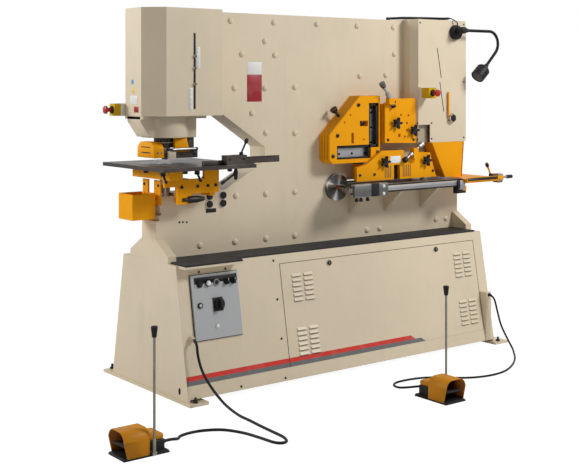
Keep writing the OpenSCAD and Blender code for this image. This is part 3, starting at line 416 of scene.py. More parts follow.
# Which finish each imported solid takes
WORN_BY = {
    "beige_paint": [
        "base_cabinet", "service_door", "frame_front_plate", "frame_rear_plate", "tie_bolts",
        "punch_casing", "punch_cylinder", "bolster", "shear_cover", "shear_beam", "shear_cylinder",
        "shear_bench",
    ],
    "amber_paint": [
        "stripper_hood", "table_bracket", "angle_shear_guard", "bar_shear_guard", "flat_shear_guard",
        "notching_guard", "notch_table", "pedal_left", "pedal_right", "slug_box", "slug_chute",
    ],
    "door_paint": ["control_door"],
    "black_steel": ["ruler_bar", "punch_ram", "stripper_bracket", "punch_table", "power_pack"],
    "ground_steel": [
        "punch_tool", "die", "shear_rod", "shear_blades", "angle_spindle", "flat_spindle", "shear_fence",
    ],
    "turned_steel": ["pivot_pin"],
    "black_moulding_and_shade": [
        "main_switch", "start_button", "stop_button", "mode_selector", "table_lever_left",
        "table_lever_right", "ruler_lever", "star_knob_1", "star_knob_2", "star_knob_3", "star_knob_4",
        "notch_stop", "lamp_base", "lamp_head", "treadle_left", "treadle_right",
    ],
    "lemon_moulding": ["estop_housings"],
    "red_moulding": ["estop_left_button", "estop_right_button"],
    "mat_rubber": ["tray_mat"],
    "cable_sheath": ["lamp_cord", "cord_left", "cord_right"],
}


class IRONWORKER_OT_finishes(bpy.types.Operator):
    """Mixes every finish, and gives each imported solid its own"""

    bl_idname = "ironworker.finishes"
    bl_label = "Finishes"

    def execute(self, context):
        paint = context.scene.ironworker_paint
        beige, yellow, black, wear = tuple(paint.beige), tuple(paint.yellow), tuple(paint.black), paint.wear
        painted("beige_paint", beige, wear=wear)
        painted("amber_paint", yellow, rough=0.45, coat=0.0, dust=(0.45, 0.17, 0.01), wear=wear, shine=0.12)
        painted("door_paint", shade(paint.grey, 1.12), dust=(0.3, 0.28, 0.25), wear=wear)
        blackened("black_steel", (0.062, 0.052, 0.047))
        machined("ground_steel", (0.42, 0.42, 0.44), along=(0.06, 1, 1))
        machined("grey_steel", (0.17, 0.17, 0.165), along=(0.06, 1, 1))
        turned_face_painted_reflection("turned_steel", (0.72, 0.72, 0.74), sum(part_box("pivot_pin"), Vector()) / 2)
        # Also painted as shade on the rail's lower strip and round the guard windows
        blackened("bolt_steel_and_shade", (0.03, 0.028, 0.028), rough=0.36)
        # Also painted as the shade inside holes, slots and gaps
        moulded("black_moulding_and_shade", black)
        moulded("red_moulding", (0.42, 0.02, 0.016), rough=0.3, coat=0.3)
        moulded("grey_plastic", (0.28, 0.275, 0.27))
        moulded("white_plastic", (0.86, 0.86, 0.84), rough=0.25, coat=0.4)
        ribbed_rubber("mat_rubber", shade(black, 1.3))
        cable_sheath("cable_sheath", shade(black, 0.4))
        printed("stripe_red", tuple(paint.stripe_red))
        printed("stripe_grey", tuple(paint.stripe_grey))
        # Also painted as highlights on the control door's edges
        printed("plain_plate_and_highlight", (0.80, 0.79, 0.76), rough=0.3)
        printed("blue_spot", (0.06, 0.30, 0.58))
        printed("red_field", (0.34, 0.018, 0.026))
        moulded("lemon_moulding", (0.66, 0.40, 0.006), rough=0.36, shine=0.15)
        printed("yellow_field", (0.86, 0.58, 0.02))
        glazed("lamp_glass", (0.10, 0.10, 0.11))
        # The pedals' yellow, painted darker as shade because they lie low on the floor
        painted("pedal_amber_painted_shade", (0.60, 0.235, 0.004), rough=0.42, coat=0.0, wear=wear, shine=0.2)
        # Darker still: painted shade for the inside of the pedal hoods
        painted("pedal_inside_painted_shade", (0.36, 0.11, 0.006), rough=0.6, coat=0.0)
        # Darker beige: painted shade for the back of the shear cover's cut-out
        painted("beige_painted_shade", shade(beige, 0.62), wear=wear)
        machined("rod_steel", (0.27, 0.265, 0.22), rough=0.4)
        # Also painted as the shade inside the flat guard's slits
        painted("seam_and_shade_brown", (0.16, 0.085, 0.03), rough=0.5)
        for finish, nodes in WORN_BY.items():
            for node in nodes:
                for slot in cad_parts[node].material_slots:
                    slot.material = bpy.data.materials[finish]
        return {"FINISHED"}


# ---------------------------------------------------------------- modelling


# Edges sharper than this are rounded, and stay sharp in the shading
SHARP = math.radians(35)


def only(*pieces):
    """Selects these pieces and nothing else"""
    bpy.ops.object.select_all(action="DESELECT")
    for piece in pieces:
        piece.select_set(True)
    bpy.context.view_layer.objects.active = pieces[0]


def named_as(piece, name):
    """Gives a piece its name"""
    piece.name = name
    piece.data.name = name
    return piece


def named(name):
    """The new primitive, under its own name"""
    return named_as(bpy.context.active_object, name)


def settle(piece):
    """Puts a piece's place, turn and size into its mesh"""
    only(piece)
    bpy.ops.object.transform_apply(location=True, rotation=True, scale=True)
    return piece


def moved(piece, place):
    """Moves a piece's mesh"""
    piece.data.transform(Matrix.Translation(place))
    return piece


def begin_edit(piece):
    """Opens a piece's mesh for work on its faces"""
    only(piece)
    bpy.ops.object.mode_set(mode="EDIT")
    bpy.ops.mesh.select_mode(type="FACE")


def end_edit(piece):
    """Closes a piece's mesh again"""
    bpy.ops.object.mode_set(mode="OBJECT")
    return piece


def pick(piece, test):
    """In edit mode, selects the faces that pass a test and no others"""
    bpy.ops.mesh.select_all(action="DESELECT")
    mesh = bmesh.from_edit_mesh(piece.data)
    for face in mesh.faces:
        if test(face):
            face.select_set(True)
    bmesh.update_edit_mesh(piece.data)


def facing(direction):
    """A test for faces that look one way"""
    return lambda face: face.normal.dot(Vector(direction)) > 0.95


def press(piece, test, rim, depth):
    """Insets the faces that pass a test, and pushes them in, or out if the depth is negative"""
    begin_edit(piece)
    pick(piece, test)
    bpy.ops.mesh.inset(thickness=rim, depth=0)
    chosen = [face for face in bmesh.from_edit_mesh(piece.data).faces if face.select]
    push = chosen[0].normal * -depth
    bpy.ops.mesh.extrude_region_move(TRANSFORM_OT_translate={"value": push})
    end_edit(piece)


def modify(piece, kind, **settings):
    """Adds a modifier and applies it"""
    only(piece)
    bpy.ops.object.modifier_add(type=kind)
    modifier = piece.modifiers[-1]
    for key, value in settings.items():
        setattr(modifier, key, value)
    bpy.ops.object.modifier_apply(modifier=modifier.name)


def soften(piece, edge, segments=2):
    """Rounds the sharp edges, and smooths the shading between them"""
    if edge:
        modify(piece, "BEVEL", width=edge, segments=segments, limit_method="ANGLE", angle_limit=SHARP)
    only(piece)
    bpy.ops.object.shade_smooth_by_angle(angle=SHARP)
    return piece


def leaning(degrees):
    """The direction that leans this far from upright towards the right end"""
    turn = math.radians(degrees)
    return Vector((math.sin(turn), 0, math.cos(turn)))


def slab(name, xs, ys, zs, edge=1.5, segments=2):
    """A rounded bar between two corners"""
    low, high = Vector((xs[0], ys[0], zs[0])), Vector((xs[1], ys[1], zs[1]))
    bpy.ops.mesh.primitive_cube_add(size=1, location=(low + high) / 2)
    piece = named(name)
    piece.scale = high - low
    return soften(settle(piece), edge, segments)


def plate(name, points, ys, edge=1.5):
    """A flat outline in X and Z, as thick as the stretch ys"""
    bpy.ops.mesh.primitive_circle_add(vertices=len(points), radius=1, fill_type="NGON")
    piece = named(name)
    for corner, (x, z) in zip(piece.data.vertices, points):
        corner.co = x, ys[0], z
    begin_edit(piece)
    bpy.ops.mesh.select_all(action="SELECT")
    bpy.ops.mesh.extrude_region_move(TRANSFORM_OT_translate={"value": (0, ys[1] - ys[0], 0)})
    bpy.ops.mesh.select_all(action="SELECT")
    bpy.ops.mesh.normals_make_consistent(inside=False)
    return soften(end_edit(piece), edge)


def plate_across(name, xs, points, edge=1.5):
    """A flat outline in Y and Z, as thick as the stretch xs"""
    piece = plate(name, [(y, z) for y, z in points], (-xs[1], -xs[0]), edge)
    piece.rotation_euler = (0, 0, math.radians(90))
    return settle(piece)


def turned(name, base, along, steps, sides=32, edge=0.0):
    """A lathe-turned piece: its steps are (radius, height) pairs that climb from the base"""
    radius, height = steps[0]
    bpy.ops.mesh.primitive_circle_add(
        vertices=sides, radius=radius, fill_type="NGON", location=(0, 0, height),
    )
    piece = settle(named(name))
    begin_edit(piece)
    bpy.ops.mesh.select_all(action="SELECT")
    for wide, high in steps[1:]:
        bpy.ops.mesh.extrude_region_move(TRANSFORM_OT_translate={"value": (0, 0, high - height)})
        grow = wide / radius
        bpy.ops.transform.resize(value=(grow, grow, 1), center_override=(0, 0, high))
        radius, height = wide, high
    bpy.ops.mesh.select_all(action="SELECT")
    bpy.ops.mesh.normals_make_consistent(inside=False)
    end_edit(piece)
    piece.rotation_mode = "QUATERNION"
    piece.rotation_quaternion = Vector(along).to_track_quat("Z", "Y")
    piece.location = base
    return soften(settle(piece), edge)


def rounded(wide, tall, edge):
    """The steps of a plain turned pin whose top edge is rounded"""
    return [(wide, 0), (wide, tall - edge), (wide - edge * 0.3, tall - edge * 0.3), (wide - edge, tall)]


def hex_screw(name, place, along, radius, tall):
    """A button-head screw with a socket"""
    return turned(name, place, along, [
        (radius, 0), (radius, tall * 0.3), (radius * 0.86, tall * 0.75), (radius * 0.55, tall),
        (radius * 0.5, tall), (radius * 0.46, tall * 0.4),
    ], sides=18)


def swept(name, points, radius, sides):
    """A smooth round wire along a list of points"""
    curve = bpy.data.curves.new(name, "CURVE")
    curve.dimensions = "3D"
    spline = curve.splines.new("NURBS")
    spline.points.add(len(points) - 1)
    for knot, point in zip(spline.points, points):
        knot.co = (*point, 1)
    spline.use_endpoint_u = True
    spline.order_u = 3
    curve.bevel_depth = radius
    curve.bevel_resolution = sides // 4
    curve.resolution_u = 6
    curve.use_fill_caps = True
    piece = bpy.data.objects.new(name, curve)
    bpy.context.collection.objects.link(piece)
    only(piece)
    bpy.ops.object.convert(target="MESH")
    piece = named(name)
    bpy.ops.object.shade_smooth_by_angle(angle=math.radians(40))
    return piece


def cut(piece, tool):
    """Takes the tool's shape out of a piece"""
    modify(piece, "BOOLEAN", operation="DIFFERENCE", object=tool, solver="EXACT")
    bpy.data.objects.remove(tool)
    return piece


def tint(piece, finish):
    """Paints a piece before it is joined with others"""
    piece.data.materials.clear()
    piece.data.materials.append(bpy.data.materials[finish])
    return piece


def join(name, *pieces):
    """Makes several pieces one"""
    only(*pieces)
    bpy.ops.object.join()
    return named(name)


def twin(piece, place):
    """A copy of the piece with its own mesh, at a place that may be turned"""
    made = piece.copy()
    made.data = piece.data.copy()
    bpy.context.collection.objects.link(made)
    made.data.transform(place)
    return made


def copies_at(piece, places):
    """The piece at each of these turned places, joined into one"""
    name = piece.name
    twins = [twin(piece, place) for place in places]
    bpy.data.objects.remove(piece)
    return join(name, *twins)


def copies(piece, moves):
    """The piece moved by each of these steps, joined into one"""
    return copies_at(piece, [Matrix.Translation(move) for move in moves])


def spread(piece, spots):
    """The piece at each of these spots on a face, in X and Z, joined into one"""
    return copies(piece, [(x, 0, z) for x, z in spots])


def hang(piece, place, body, stands_for):
    """Seats a finished piece on the machine, and hangs it on its body"""
    piece.matrix_world = place @ piece.matrix_world
    settle(piece)
    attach(piece, body)
    if stands_for:
        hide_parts(*stands_for)


def fit(piece, place, finish, body="machine", stands_for=()):
    """Seats a piece of one finish"""
    tint(piece, finish)
    hang(piece, place, body, stands_for)


def place_parts(piece, place, body, stands_for=()):
    """Seats a piece that already wears several finishes"""
    hang(piece, place, body, stands_for)


# ---------------------------------------------------------------- stage and cords


class IRONWORKER_OT_stage(bpy.types.Operator):
    """Sets the camera, the lights and the pale floor"""

    bl_idname = "ironworker.stage"
    bl_label = "Stage"

    def execute(self, context):
        stage = context.scene.ironworker_stage
        bpy.ops.object.select_all(action="DESELECT")
        self.camera(context.scene, stage)
        self.lamp("front_light", (2.9, -4.0, 4.5), (0.3, 0.0, 1.2), (1.5, 1.2), stage.front_light)
        self.lamp("end_light", (-4.6, 2.2, 3.0), (-1.2, 0.0, 1.6), (1.8, 1.8), stage.end_light)
        self.world(context.scene, stage.sky)
        self.floor()
        context.scene.view_settings.view_transform = "Standard"
        return {"FINISHED"}

    def camera(self, scene, stage):
        """A level camera whose lens is shifted"""
        bpy.ops.object.camera_add(location=stage.eye, rotation=(math.radians(90), 0, stage.heading))
        camera = named("camera")
        camera.data.lens = stage.lens
        camera.data.shift_y = stage.rise
        camera.data.clip_end = 200
        scene.camera = camera

    def lamp(self, name, place, target, size, power):
        """A soft rectangular light that points at a target"""
        turn = (Vector(target) - Vector(place)).to_track_quat("-Z", "Y").to_euler()
        bpy.ops.object.light_add(type="AREA", location=place, rotation=turn)
        lamp = named(name).data
        lamp.shape = "RECTANGLE"
        lamp.size, lamp.size_y = size
        lamp.energy = power

    def seen_white(self, tree):
        """A mask for rays that come from the camera, a mirror or a window"""
        path = tree.nodes.new("ShaderNodeLightPath")
        mask = path.outputs["Is Camera Ray"]
        for ray in ("Is Glossy Ray", "Is Transmission Ray"):
            both = tree.nodes.new("ShaderNodeMath")
            both.operation = "MAXIMUM"
            tree.links.new(mask, both.inputs[0])
            tree.links.new(path.outputs[ray], both.inputs[1])
            mask = both.outputs[0]
        return mask

    def world(self, scene, sky):
        """An even sky for the light, which the camera, mirrors and windows see as plain white"""
        world = bpy.data.worlds.new("studio")
        world.use_nodes = True
        scene.world = world
        tree = world.node_tree
        even, white = tree.nodes["Background"], tree.nodes.new("ShaderNodeBackground")
        even.inputs["Color"].default_value = (1, 0.99, 0.97, 1)
        even.inputs["Strength"].default_value = sky
        white.inputs["Color"].default_value = (1, 1, 1, 1)
        white.inputs["Strength"].default_value = 1.0
        mixed = tree.nodes.new("ShaderNodeMixShader")
        tree.links.new(self.seen_white(tree), mixed.inputs[0])
        tree.links.new(even.outputs[0], mixed.inputs[1])
        tree.links.new(white.outputs[0], mixed.inputs[2])
        tree.links.new(mixed.outputs[0], tree.nodes["World Output"].inputs["Surface"])

    def floor(self):
        """A pale floor that keeps the shadow, and is lifted towards white for the camera only"""
        below, glow, share = 0.0005, 1.3, 0.72
        bpy.ops.mesh.primitive_plane_add(size=60, location=(0, 0, -below))
        floor = named("studio_floor")
        f = Finish("pale_floor")
        f.surface(Base_Color=(0.8, 0.8, 0.8), Roughness=0.9)
        white = f.node("ShaderNodeEmission", None, {"Color": (1, 1, 1), "Strength": glow})
        camera_ray = f.node("ShaderNodeLightPath")
        shown = f.node("ShaderNodeMixShader", None, [camera_ray * share])
        mixer = shown.socket.node
        f.tree.links.new(f.shader.outputs[0], mixer.inputs[1])
        f.tree.links.new(white.socket, mixer.inputs[2])
        f.tree.links.new(shown.socket, f.tree.nodes["Material Output"].inputs["Surface"])
        tint(floor, "pale_floor")


# Routes of the two pedals' cables in metres, from their glands in the cabinet to the pedals
CORD_LEFT = [
    (-1.121, -0.3873, 0.326), (-1.121, -0.395, 0.326), (-1.121, -0.403, 0.326), (-1.121, -0.426, 0.306),
    (-1.119, -0.436, 0.250), (-1.108, -0.456, 0.180), (-1.097, -0.520, 0.110), (-1.084, -0.620, 0.045),
    (-1.076, -0.730, 0.013), (-1.076, -0.830, 0.008), (-1.085, -0.936, 0.0075),
    (-1.092, -1.040, 0.0075), (-1.099, -1.130, 0.0075),
    (-1.121, -1.186, 0.0075), (-1.152, -1.200, 0.0075), (-1.180, -1.170, 0.0075), (-1.192, -1.077, 0.0075),
    (-1.212, -0.968, 0.0075), (-1.262, -0.872, 0.0075), (-1.340, -0.826, 0.0075), (-1.410, -0.816, 0.0075),
    (-1.470, -0.830, 0.008), (-1.510, -0.872, 0.014), (-1.545, -0.901, 0.026), (-1.571, -0.9055, 0.030),
    (-1.586, -0.9055, 0.030), (-1.601, -0.9055, 0.030),
]
CORD_RIGHT = [
    (1.068, -0.427, 0.314), (1.068, -0.435, 0.314), (1.068, -0.443, 0.314), (1.074, -0.468, 0.288),
    (1.088, -0.478, 0.220), (1.100, -0.500, 0.130), (1.094, -0.560, 0.052), (1.058, -0.630, 0.014),
    (1.002, -0.690, 0.007),
    (0.912, -0.777, 0.0065), (0.792, -0.867, 0.0065), (0.659, -0.938, 0.0065), (0.540, -0.964, 0.0065),
    (0.422, -0.950, 0.0065), (0.327, -0.903, 0.0065), (0.237, -0.821, 0.0065), (0.150, -0.768, 0.0065),
    (0.050, -0.748, 0.0065), (-0.036, -0.754, 0.0065), (-0.084, -0.792, 0.007), (-0.096, -0.848, 0.010),
    (-0.074, -0.902, 0.020), (-0.050, -0.938, 0.028), (-0.0475, -0.955, 0.030), (-0.0475, -0.962, 0.030),
    (-0.0475, -0.969, 0.030),
]


def smooth_route(points, steps=4):
    """Points of the smooth curve that runs through a route's own points"""
    made = []
    for i in range(len(points) - 1):
        a, b, c, d = (Vector(points[min(max(j, 0), len(points) - 1)]) for j in (i - 1, i, i + 1, i + 2))
        for step in range(steps):
            t = step / steps
            square = (2 * a - 5 * b + 4 * c - d) * t ** 2
            cube = (3 * b - a - 3 * c + d) * t ** 3
            made.append(0.5 * (2 * b + (c - a) * t + square + cube))
    return made + [Vector(points[-1])]


def free_cord(name, route, radius, node, steps=4):
    """A cable along a route, from its exit to its far end"""
    line = smooth_route(route, steps)
    curve = bpy.data.curves.new(name, "CURVE")
    curve.dimensions = "3D"
    curve.bevel_depth = radius
    curve.bevel_resolution = 4
    curve.use_fill_caps = True
    spline = curve.splines.new("POLY")
    spline.points.add(len(line) - 1)
    for knot, point in zip(spline.points, line):
        knot.co = (*point, 1)
    spline.use_smooth = True
    curve.materials.append(bpy.data.materials["cable_sheath"])
    cord = bpy.data.objects.new(name, curve)
    bpy.context.collection.objects.link(cord)
    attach(cord, "machine")
    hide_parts(node)
    length = sum((b - a).length for a, b in zip(line, line[1:]))


class IRONWORKER_OT_cords(bpy.types.Operator):
    """Lays the two pedals' cables, each with a ribbed boot where it leaves the cabinet"""

    bl_idname = "ironworker.cords"
    bl_label = "Pedal cords"

    def execute(self, context):
        cords = (
            ("left", CORD_LEFT, 0.007, "beige_paint"),
            ("right", CORD_RIGHT, 0.006, "black_moulding_and_shade"),
        )
        for side, route, radius, finish in cords:
            boot = self.boot(f"cord_boot_{side}", route, radius)
            fit(boot, MILLIMETRES, finish)
            free_cord(f"pedal_cord_{side}", route, radius, f"cord_{side}")
        return {"FINISHED"}

    def boot(self, name, route, radius):
        """A ribbed boot, drawn for a cord of 8.5 mm radius and scaled to this one"""
        drawn_for, sunk = 0.0085, 4
        steps = [(16, 0), (16, 8), (13, 9)]
        for k in range(4):
            wide, high = 12.5 - k, 10 + 4 * k
            steps += [(wide, high), (wide, high + 2), (wide - 2, high + 2.4), (wide - 2, high + 3.6)]
        way = Vector(route[1]) - Vector(route[0])
        boot = turned(name, (0, 0, 0), way, steps, sides=24)
        boot.data.transform(Matrix.Scale(radius / drawn_for, 4))
        return moved(boot, Vector(route[0]) * 1000 - way.normalized() * sunk)


# ---------------------------------------------------------------- cabinet


def stripe(name, xs, zs, slant=0.0):
    """A stripe of paint on the leaning sheet, whose right end may slant"""
    corners = [(xs[0], zs[0]), (xs[1] + slant, zs[0]), (xs[1], zs[1]), (xs[0], zs[1])]
    return plate(name, corners, (0.0, -0.6), edge=0)


class IRONWORKER_OT_stripes(bpy.types.Operator):
    """Paints the two stripes along the foot of the cabinet and its service door"""

    bl_idname = "ironworker.stripes"
    bl_label = "Stripes"

    def execute(self, context):
        trim = context.scene.ironworker_trim
        seam = (DOOR_X[0] - 2, DOOR_X[0] + 1)
        low, middle = trim.stripe_low + 0.5, trim.stripe_low + trim.stripe_high
        high = middle + trim.stripe_high
        rows = (("red", (middle, high), 1582), ("grey", (low, middle), 1662))
        for colour, zs, end in rows:
            finish = f"stripe_{colour}"
            fit(stripe(f"{colour}_stripe_left", (1, seam[0]), zs), FASCIA, finish)
            right = stripe(f"{colour}_stripe_door", (seam[1], end), zs, slant=36)
            fit(right, FASCIA, finish, body="service_door")
        return {"FINISHED"}


class IRONWORKER_OT_cabinet_trim(bpy.types.Operator):
    """Adds the seams, panel screws, anchor bolts, door fittings and mat rim of the cabinet"""

    bl_idname = "ironworker.cabinet_trim"
    bl_label = "Cabinet trim"

    def execute(self, context):
        trim = context.scene.ironworker_trim
        self.seams()
        screw = hex_screw("panel_screws", (0, 0, 0), (0, -1, 0), trim.screw, 4)
        spots = [(627, 680), (627, 469), (627, 256), (627, 45), (333, 47), (137, 668), (305, 668)]
        fit(spread(screw, spots), FASCIA, "bolt_steel_and_shade")
        self.anchors()
        self.door_fittings()
        self.mat_rim()
        return {"FINISHED"}

    def seams(self):
        """The dark gaps round the service door and the control door"""
        left, right = DOOR_X
        low, high = DOOR_Z
        lines = [
            slab("seam", (left - 2, left + 1), (-0.9, 0.2), (low, high), edge=0),
            slab("seam", (right - 1, right + 2), (-0.7, 0.2), (low, high), edge=0),
            slab("seam", (left, right), (-0.7, 0.2), (high - 1, high + 1.5), edge=0),
        ]
        fit(join("door_seams", *lines), FASCIA, "black_moulding_and_shade")
        ring = [
            slab("gap", (70, 75), (-1.2, 0.2), (312, 652), edge=0),
            slab("gap", (372, 377), (-1.2, 0.2), (312, 652), edge=0),
            slab("gap", (70, 377), (-1.2, 0.2), (312, 316), edge=0),
            slab("gap", (70, 377), (-1.2, 0.2), (652, 656), edge=0),
        ]
        fit(join("control_recess", *ring), FASCIA, "black_moulding_and_shade")

    def anchors(self):
        """The four anchor bolts, and the dark hole in the end plate"""
        bolt = turned("anchor_bolts", (0, 0, 15), (0, 0, 1), [
            (14, 0), (14, 9), (12.5, 10), (7, 10), (7, 26), (5.5, 28),
        ], sides=6)
        far, deep = 1137, 440
        places = [(x, y, 0) for x in (-far, far) for y in (-deep, deep)]
        fit(copies(bolt, places), MILLIMETRES, "bolt_steel_and_shade")
        # A black oval painted as the shade inside the end plate's hole
        eye = turned("end_plate_hole", (0, 0, 0), (-1, 0, 0), [(11, 0), (11, 0.8), (9, 0.8)], sides=24)
        eye.scale = (1, 1, 1.6)
        eye.location = (-1170, -339, 58)
        fit(settle(eye), MILLIMETRES, "black_moulding_and_shade")

    def door_fittings(self):
        """The service door's louvres and its two quarter-turn locks"""
        # Black slits under the louvre hoods: painted shade of the openings
        slit = slab("louvre_slits", (3, 59), (-6.6, -0.2), (-1.0, 1.2), edge=0)
        places = [
            (DOOR_X[0] + x + c, 0, DOOR_Z[0] + z + 27 * k)
            for x in (75, 1353) for c in (0, 83) for z in (50, 346) for k in range(6)
        ]
        fit(copies(slit, places), FASCIA, "black_moulding_and_shade", body="service_door")
        lock = turned("door_locks", (0, -6, 0), (0, -1, 0), [
            (14.6, -2), (14.6, 1.2), (12, 2.6), (9, 2.6), (8.6, 1.6),
        ])
        key = slab("door_lock_keys", (-1.6, 1.6), (-8.6, -7.4), (-7, 7), edge=0.4)
        places = [(DOOR_X[0] + x, 0, DOOR_Z[1] - 28) for x in (351, 1207)]
        fit(copies(lock, places), FASCIA, "black_moulding_and_shade", body="service_door")
        fit(copies(key, places), FASCIA, "ground_steel", body="service_door")

    def mat_rim(self):
        """The raised lip along the front and the right end of the tray's mat"""
        high = (0.2, 11.5)
        front = slab("mat_rim", (19, 373), (-349.5, -345), high, edge=1.6)
        end = slab("mat_rim_end", (368, 373.5), (-346, -200), high, edge=1.6)
        fit(join("mat_lip", front, end), BODY, "mat_rubber")


# ---------------------------------------------------------------- controls


def round_cap(name, radius, tall, hollow):
    """A turned push-button cap with a rounded rim and a shallow dish"""
    return turned(name, (0, 0, 0), (0, -1, 0), [
        (radius, 0), (radius, tall - 2), (radius - 0.7, tall - 0.6), (radius - 2, tall),
        (radius - 3, tall), (radius - 5, tall - hollow), (1, tall - hollow * 1.3),
    ])


def collar(name, radius, tall):
    """The ring round an operator on the control door"""
    return turned(name, (0, 0, 0), (0, -1, 0), [
        (radius, 0), (radius, tall - 1.5), (radius - 1.2, tall), (radius - 3.6, tall),
        (radius - 4.2, tall - 1),
    ])


def selector_knob(name):
    """A selector with a round base and a tapered grip"""
    base = turned(name, (0, 0, 0), (0, -1, 0), [(17, 0), (17, 8), (15.5, 11), (11, 11.4)])
    grip = slab("grip", (-5.5, 5.5), (-24, -9), (-16, 16), edge=2.2, segments=3)
    mark = tint(slab("mark", (-0.9, 0.9), (-24.4, -23.5), (4, 14), edge=0), "white_plastic")
    return join(name, tint(base, "black_moulding_and_shade"), tint(grip, "black_moulding_and_shade"), mark)


class IRONWORKER_OT_controls(bpy.types.Operator):
    """Builds the painted highlights on the edges, the operators, the main switch and the lock of the control
    door
    """

    bl_idname = "ironworker.controls"
    bl_label = "Controls"

    def execute(self, context):
        self.door_edges()
        self.row()
        self.switch()
        self.lock()
        return {"FINISHED"}

    def door_edges(self):
        """Pale strips painted on the door's folded edges as highlights, and the dark strip behind the
        operators
        """
        # Pale strips painted along the door's top and right edges as highlights on its folds
        top = slab("edge", (75.5, 371.5), (-12.6, -9), (649.5, 652), edge=0.5)
        side = slab("edge", (369.5, 372), (-12.6, -9), (316.5, 651), edge=0.5)
        fit(join("door_edge_highlights", top, side), FASCIA, "plain_plate_and_highlight", body="control_door")
        strip = slab("label_strip", (93, 363), (-14.6, -11.5), (605, 639), edge=0.4)
        for x in (START_X, STOP_X):
            cut(strip, self.bore(x))
        fit(strip, FASCIA, "black_moulding_and_shade", body="control_door")

    def bore(self, x):
        """The hole that a push button slides in"""
        return turned("bore", (x, -9, OPERATOR_ROW), (0, -1, 0), [(10.6, 0), (10.6, 14)], sides=32)

    def in_row(self, piece, x, gap=0.0):
        """Moves a piece to its place in the operators' row"""
        return moved(piece, (x, ROW_FACE - gap, OPERATOR_ROW))

    def row(self):
        """Two push buttons, a pilot light and two selectors, each in its collar"""
        for name, x, finish in (("start", START_X, "black_moulding_and_shade"), ("stop", STOP_X, "grey_plastic")):
            ring = self.in_row(collar(f"{name}_collar", 18.5, 6), x)
            cut(ring, self.bore(x))
            fit(ring, FASCIA, finish, body="control_door")
            cap = self.in_row(round_cap(f"{name}_cap", 10, 10, hollow=1.5), x)
            node = f"{name}_button"
            fit(cap, FASCIA, "black_moulding_and_shade", body=node, stands_for=(node,))
        ring = self.in_row(collar("pilot_collar", 17, 9), PILOT_X)
        fit(ring, FASCIA, "black_moulding_and_shade", body="control_door")
        lens = turned("pilot_lens", (PILOT_X, ROW_FACE, OPERATOR_ROW), (0, -1, 0), [
            (13.5, 0), (13.5, 10), (12, 14), (8, 17), (1, 18),
        ])
        fit(lens, FASCIA, "white_plastic", body="control_door")
        knobs = (
            ("mode_knob", MODE_X, 0.2, "mode_selector", ("mode_selector",)),
            ("range_knob", RANGE_X, 0.3, "control_door", ()),
        )
        for name, x, gap, body, stands_for in knobs:
            knob = self.in_row(selector_knob(name), x, gap)
            place_parts(knob, FASCIA, body, stands_for)
            ring = self.in_row(collar(f"{name}_ring", 19.5, 3), x)
            fit(ring, FASCIA, "black_moulding_and_shade", body="control_door")

    def switch(self):
        """The main switch: a shield on the door, and a dial with a grip across it"""
        x, z = SWITCH
        thick = (SWITCH_FACE, CONTROL_FACE)
        base = slab("switch_plate", (x - 36, x + 26), thick, (z - 36, z + 36), edge=5, segments=3)
        middle = (x + 2, CONTROL_FACE, z)
        bow = turned("switch_bow", middle, (0, -1, 0), [(36, 0), (36, 4), (35, 5)], sides=48)
        fit(join("switch_shield", base, bow), FASCIA, "black_moulding_and_shade", body="control_door")
        dial = turned("switch_dial", (0, 0, 0), (0, -1, 0), [
            (28, 0), (28, 8), (26, 11), (22, 12), (21, 11),
        ], sides=48)
        grip = slab("grip", (-8, 8), (-33, -9), (-26, 26), edge=4, segments=3)
        knob = moved(join("switch_knob", dial, grip), (x, SWITCH_FACE, z))
        fit(knob, FASCIA, "black_moulding_and_shade", body="main_switch", stands_for=("main_switch",))

    def lock(self):
        """The door's key lock, and the bright stud under the switch"""
        keyhole = (117, CONTROL_FACE, 494)
        ring = turned("lock_ring", keyhole, (0, -1, 0), [(15, 0), (15, 6), (13, 9), (9, 9), (8.4, 6)])
        fit(ring, FASCIA, "black_moulding_and_shade", body="control_door")
        barrel = turned("lock_barrel", keyhole, (0, -1, 0), [(5, 7), (5, 8), (4, 8.4)])
        fit(barrel, FASCIA, "ground_steel", body="control_door")
        stud = turned("door_stud", (213, CONTROL_FACE, 378), (0, -1, 0), [
            (11, 0), (11, 3), (9, 6.5), (5, 8.2),
        ], sides=24)
        fit(stud, FASCIA, "plain_plate_and_highlight", body="control_door")


# ---------------------------------------------------------------- body


class IRONWORKER_OT_body_trim(bpy.types.Operator):
    """Adds the caps with their rings, the plain plates, the dark strip and the holes of the front plate"""

    bl_idname = "ironworker.body_trim"
    bl_label = "Body trim"

    def execute(self, context):
        cap = turned("line_caps", (0, 0, 0), (0, -1, 0), [(20, 0), (20, 9), (18, 12), (12, 13)], sides=24)
        ring = turned("cap_rings", (0, 0, 0), (0, -1, 0), [
            (23.5, 0), (23.5, 3), (22.5, 4), (20, 4),
        ], sides=32)
        places = [(x, PLATE_FACE, z) for x in (341, 431) for z in (283, 327)]
        fit(copies(cap, places), BODY, "black_moulding_and_shade")
        thin = (PLATE_FACE - 1, PLATE_FACE)
        fit(slab("white_plate", (597, 700), thin, (1000, 1070), edge=0.4), BODY, "plain_plate_and_highlight")
        fit(slab("red_plate", (597, 700), thin, (846, 999), edge=0.4), BODY, "red_field")
        fit(copies(ring, places), BODY, "plain_plate_and_highlight")
        strip = slab("cover_strip", (320, 385), (PLATE_FACE - 4, PLATE_FACE), (237, 258), edge=1)
        fit(strip, BODY, "black_moulding_and_shade")
        # Black discs painted as the shade inside the front plate's holes
        hole = turned("dark_holes", (0, 0, 0), (0, -1, 0), [(6, 0), (6, 0.5), (4, 0.5)], sides=18)
        places = [(x, PLATE_FACE, z) for x, z in ((148, 197), (171, 196), (195, 194))]
        fit(copies(hole, places), BODY, "black_moulding_and_shade")
        return {"FINISHED"}


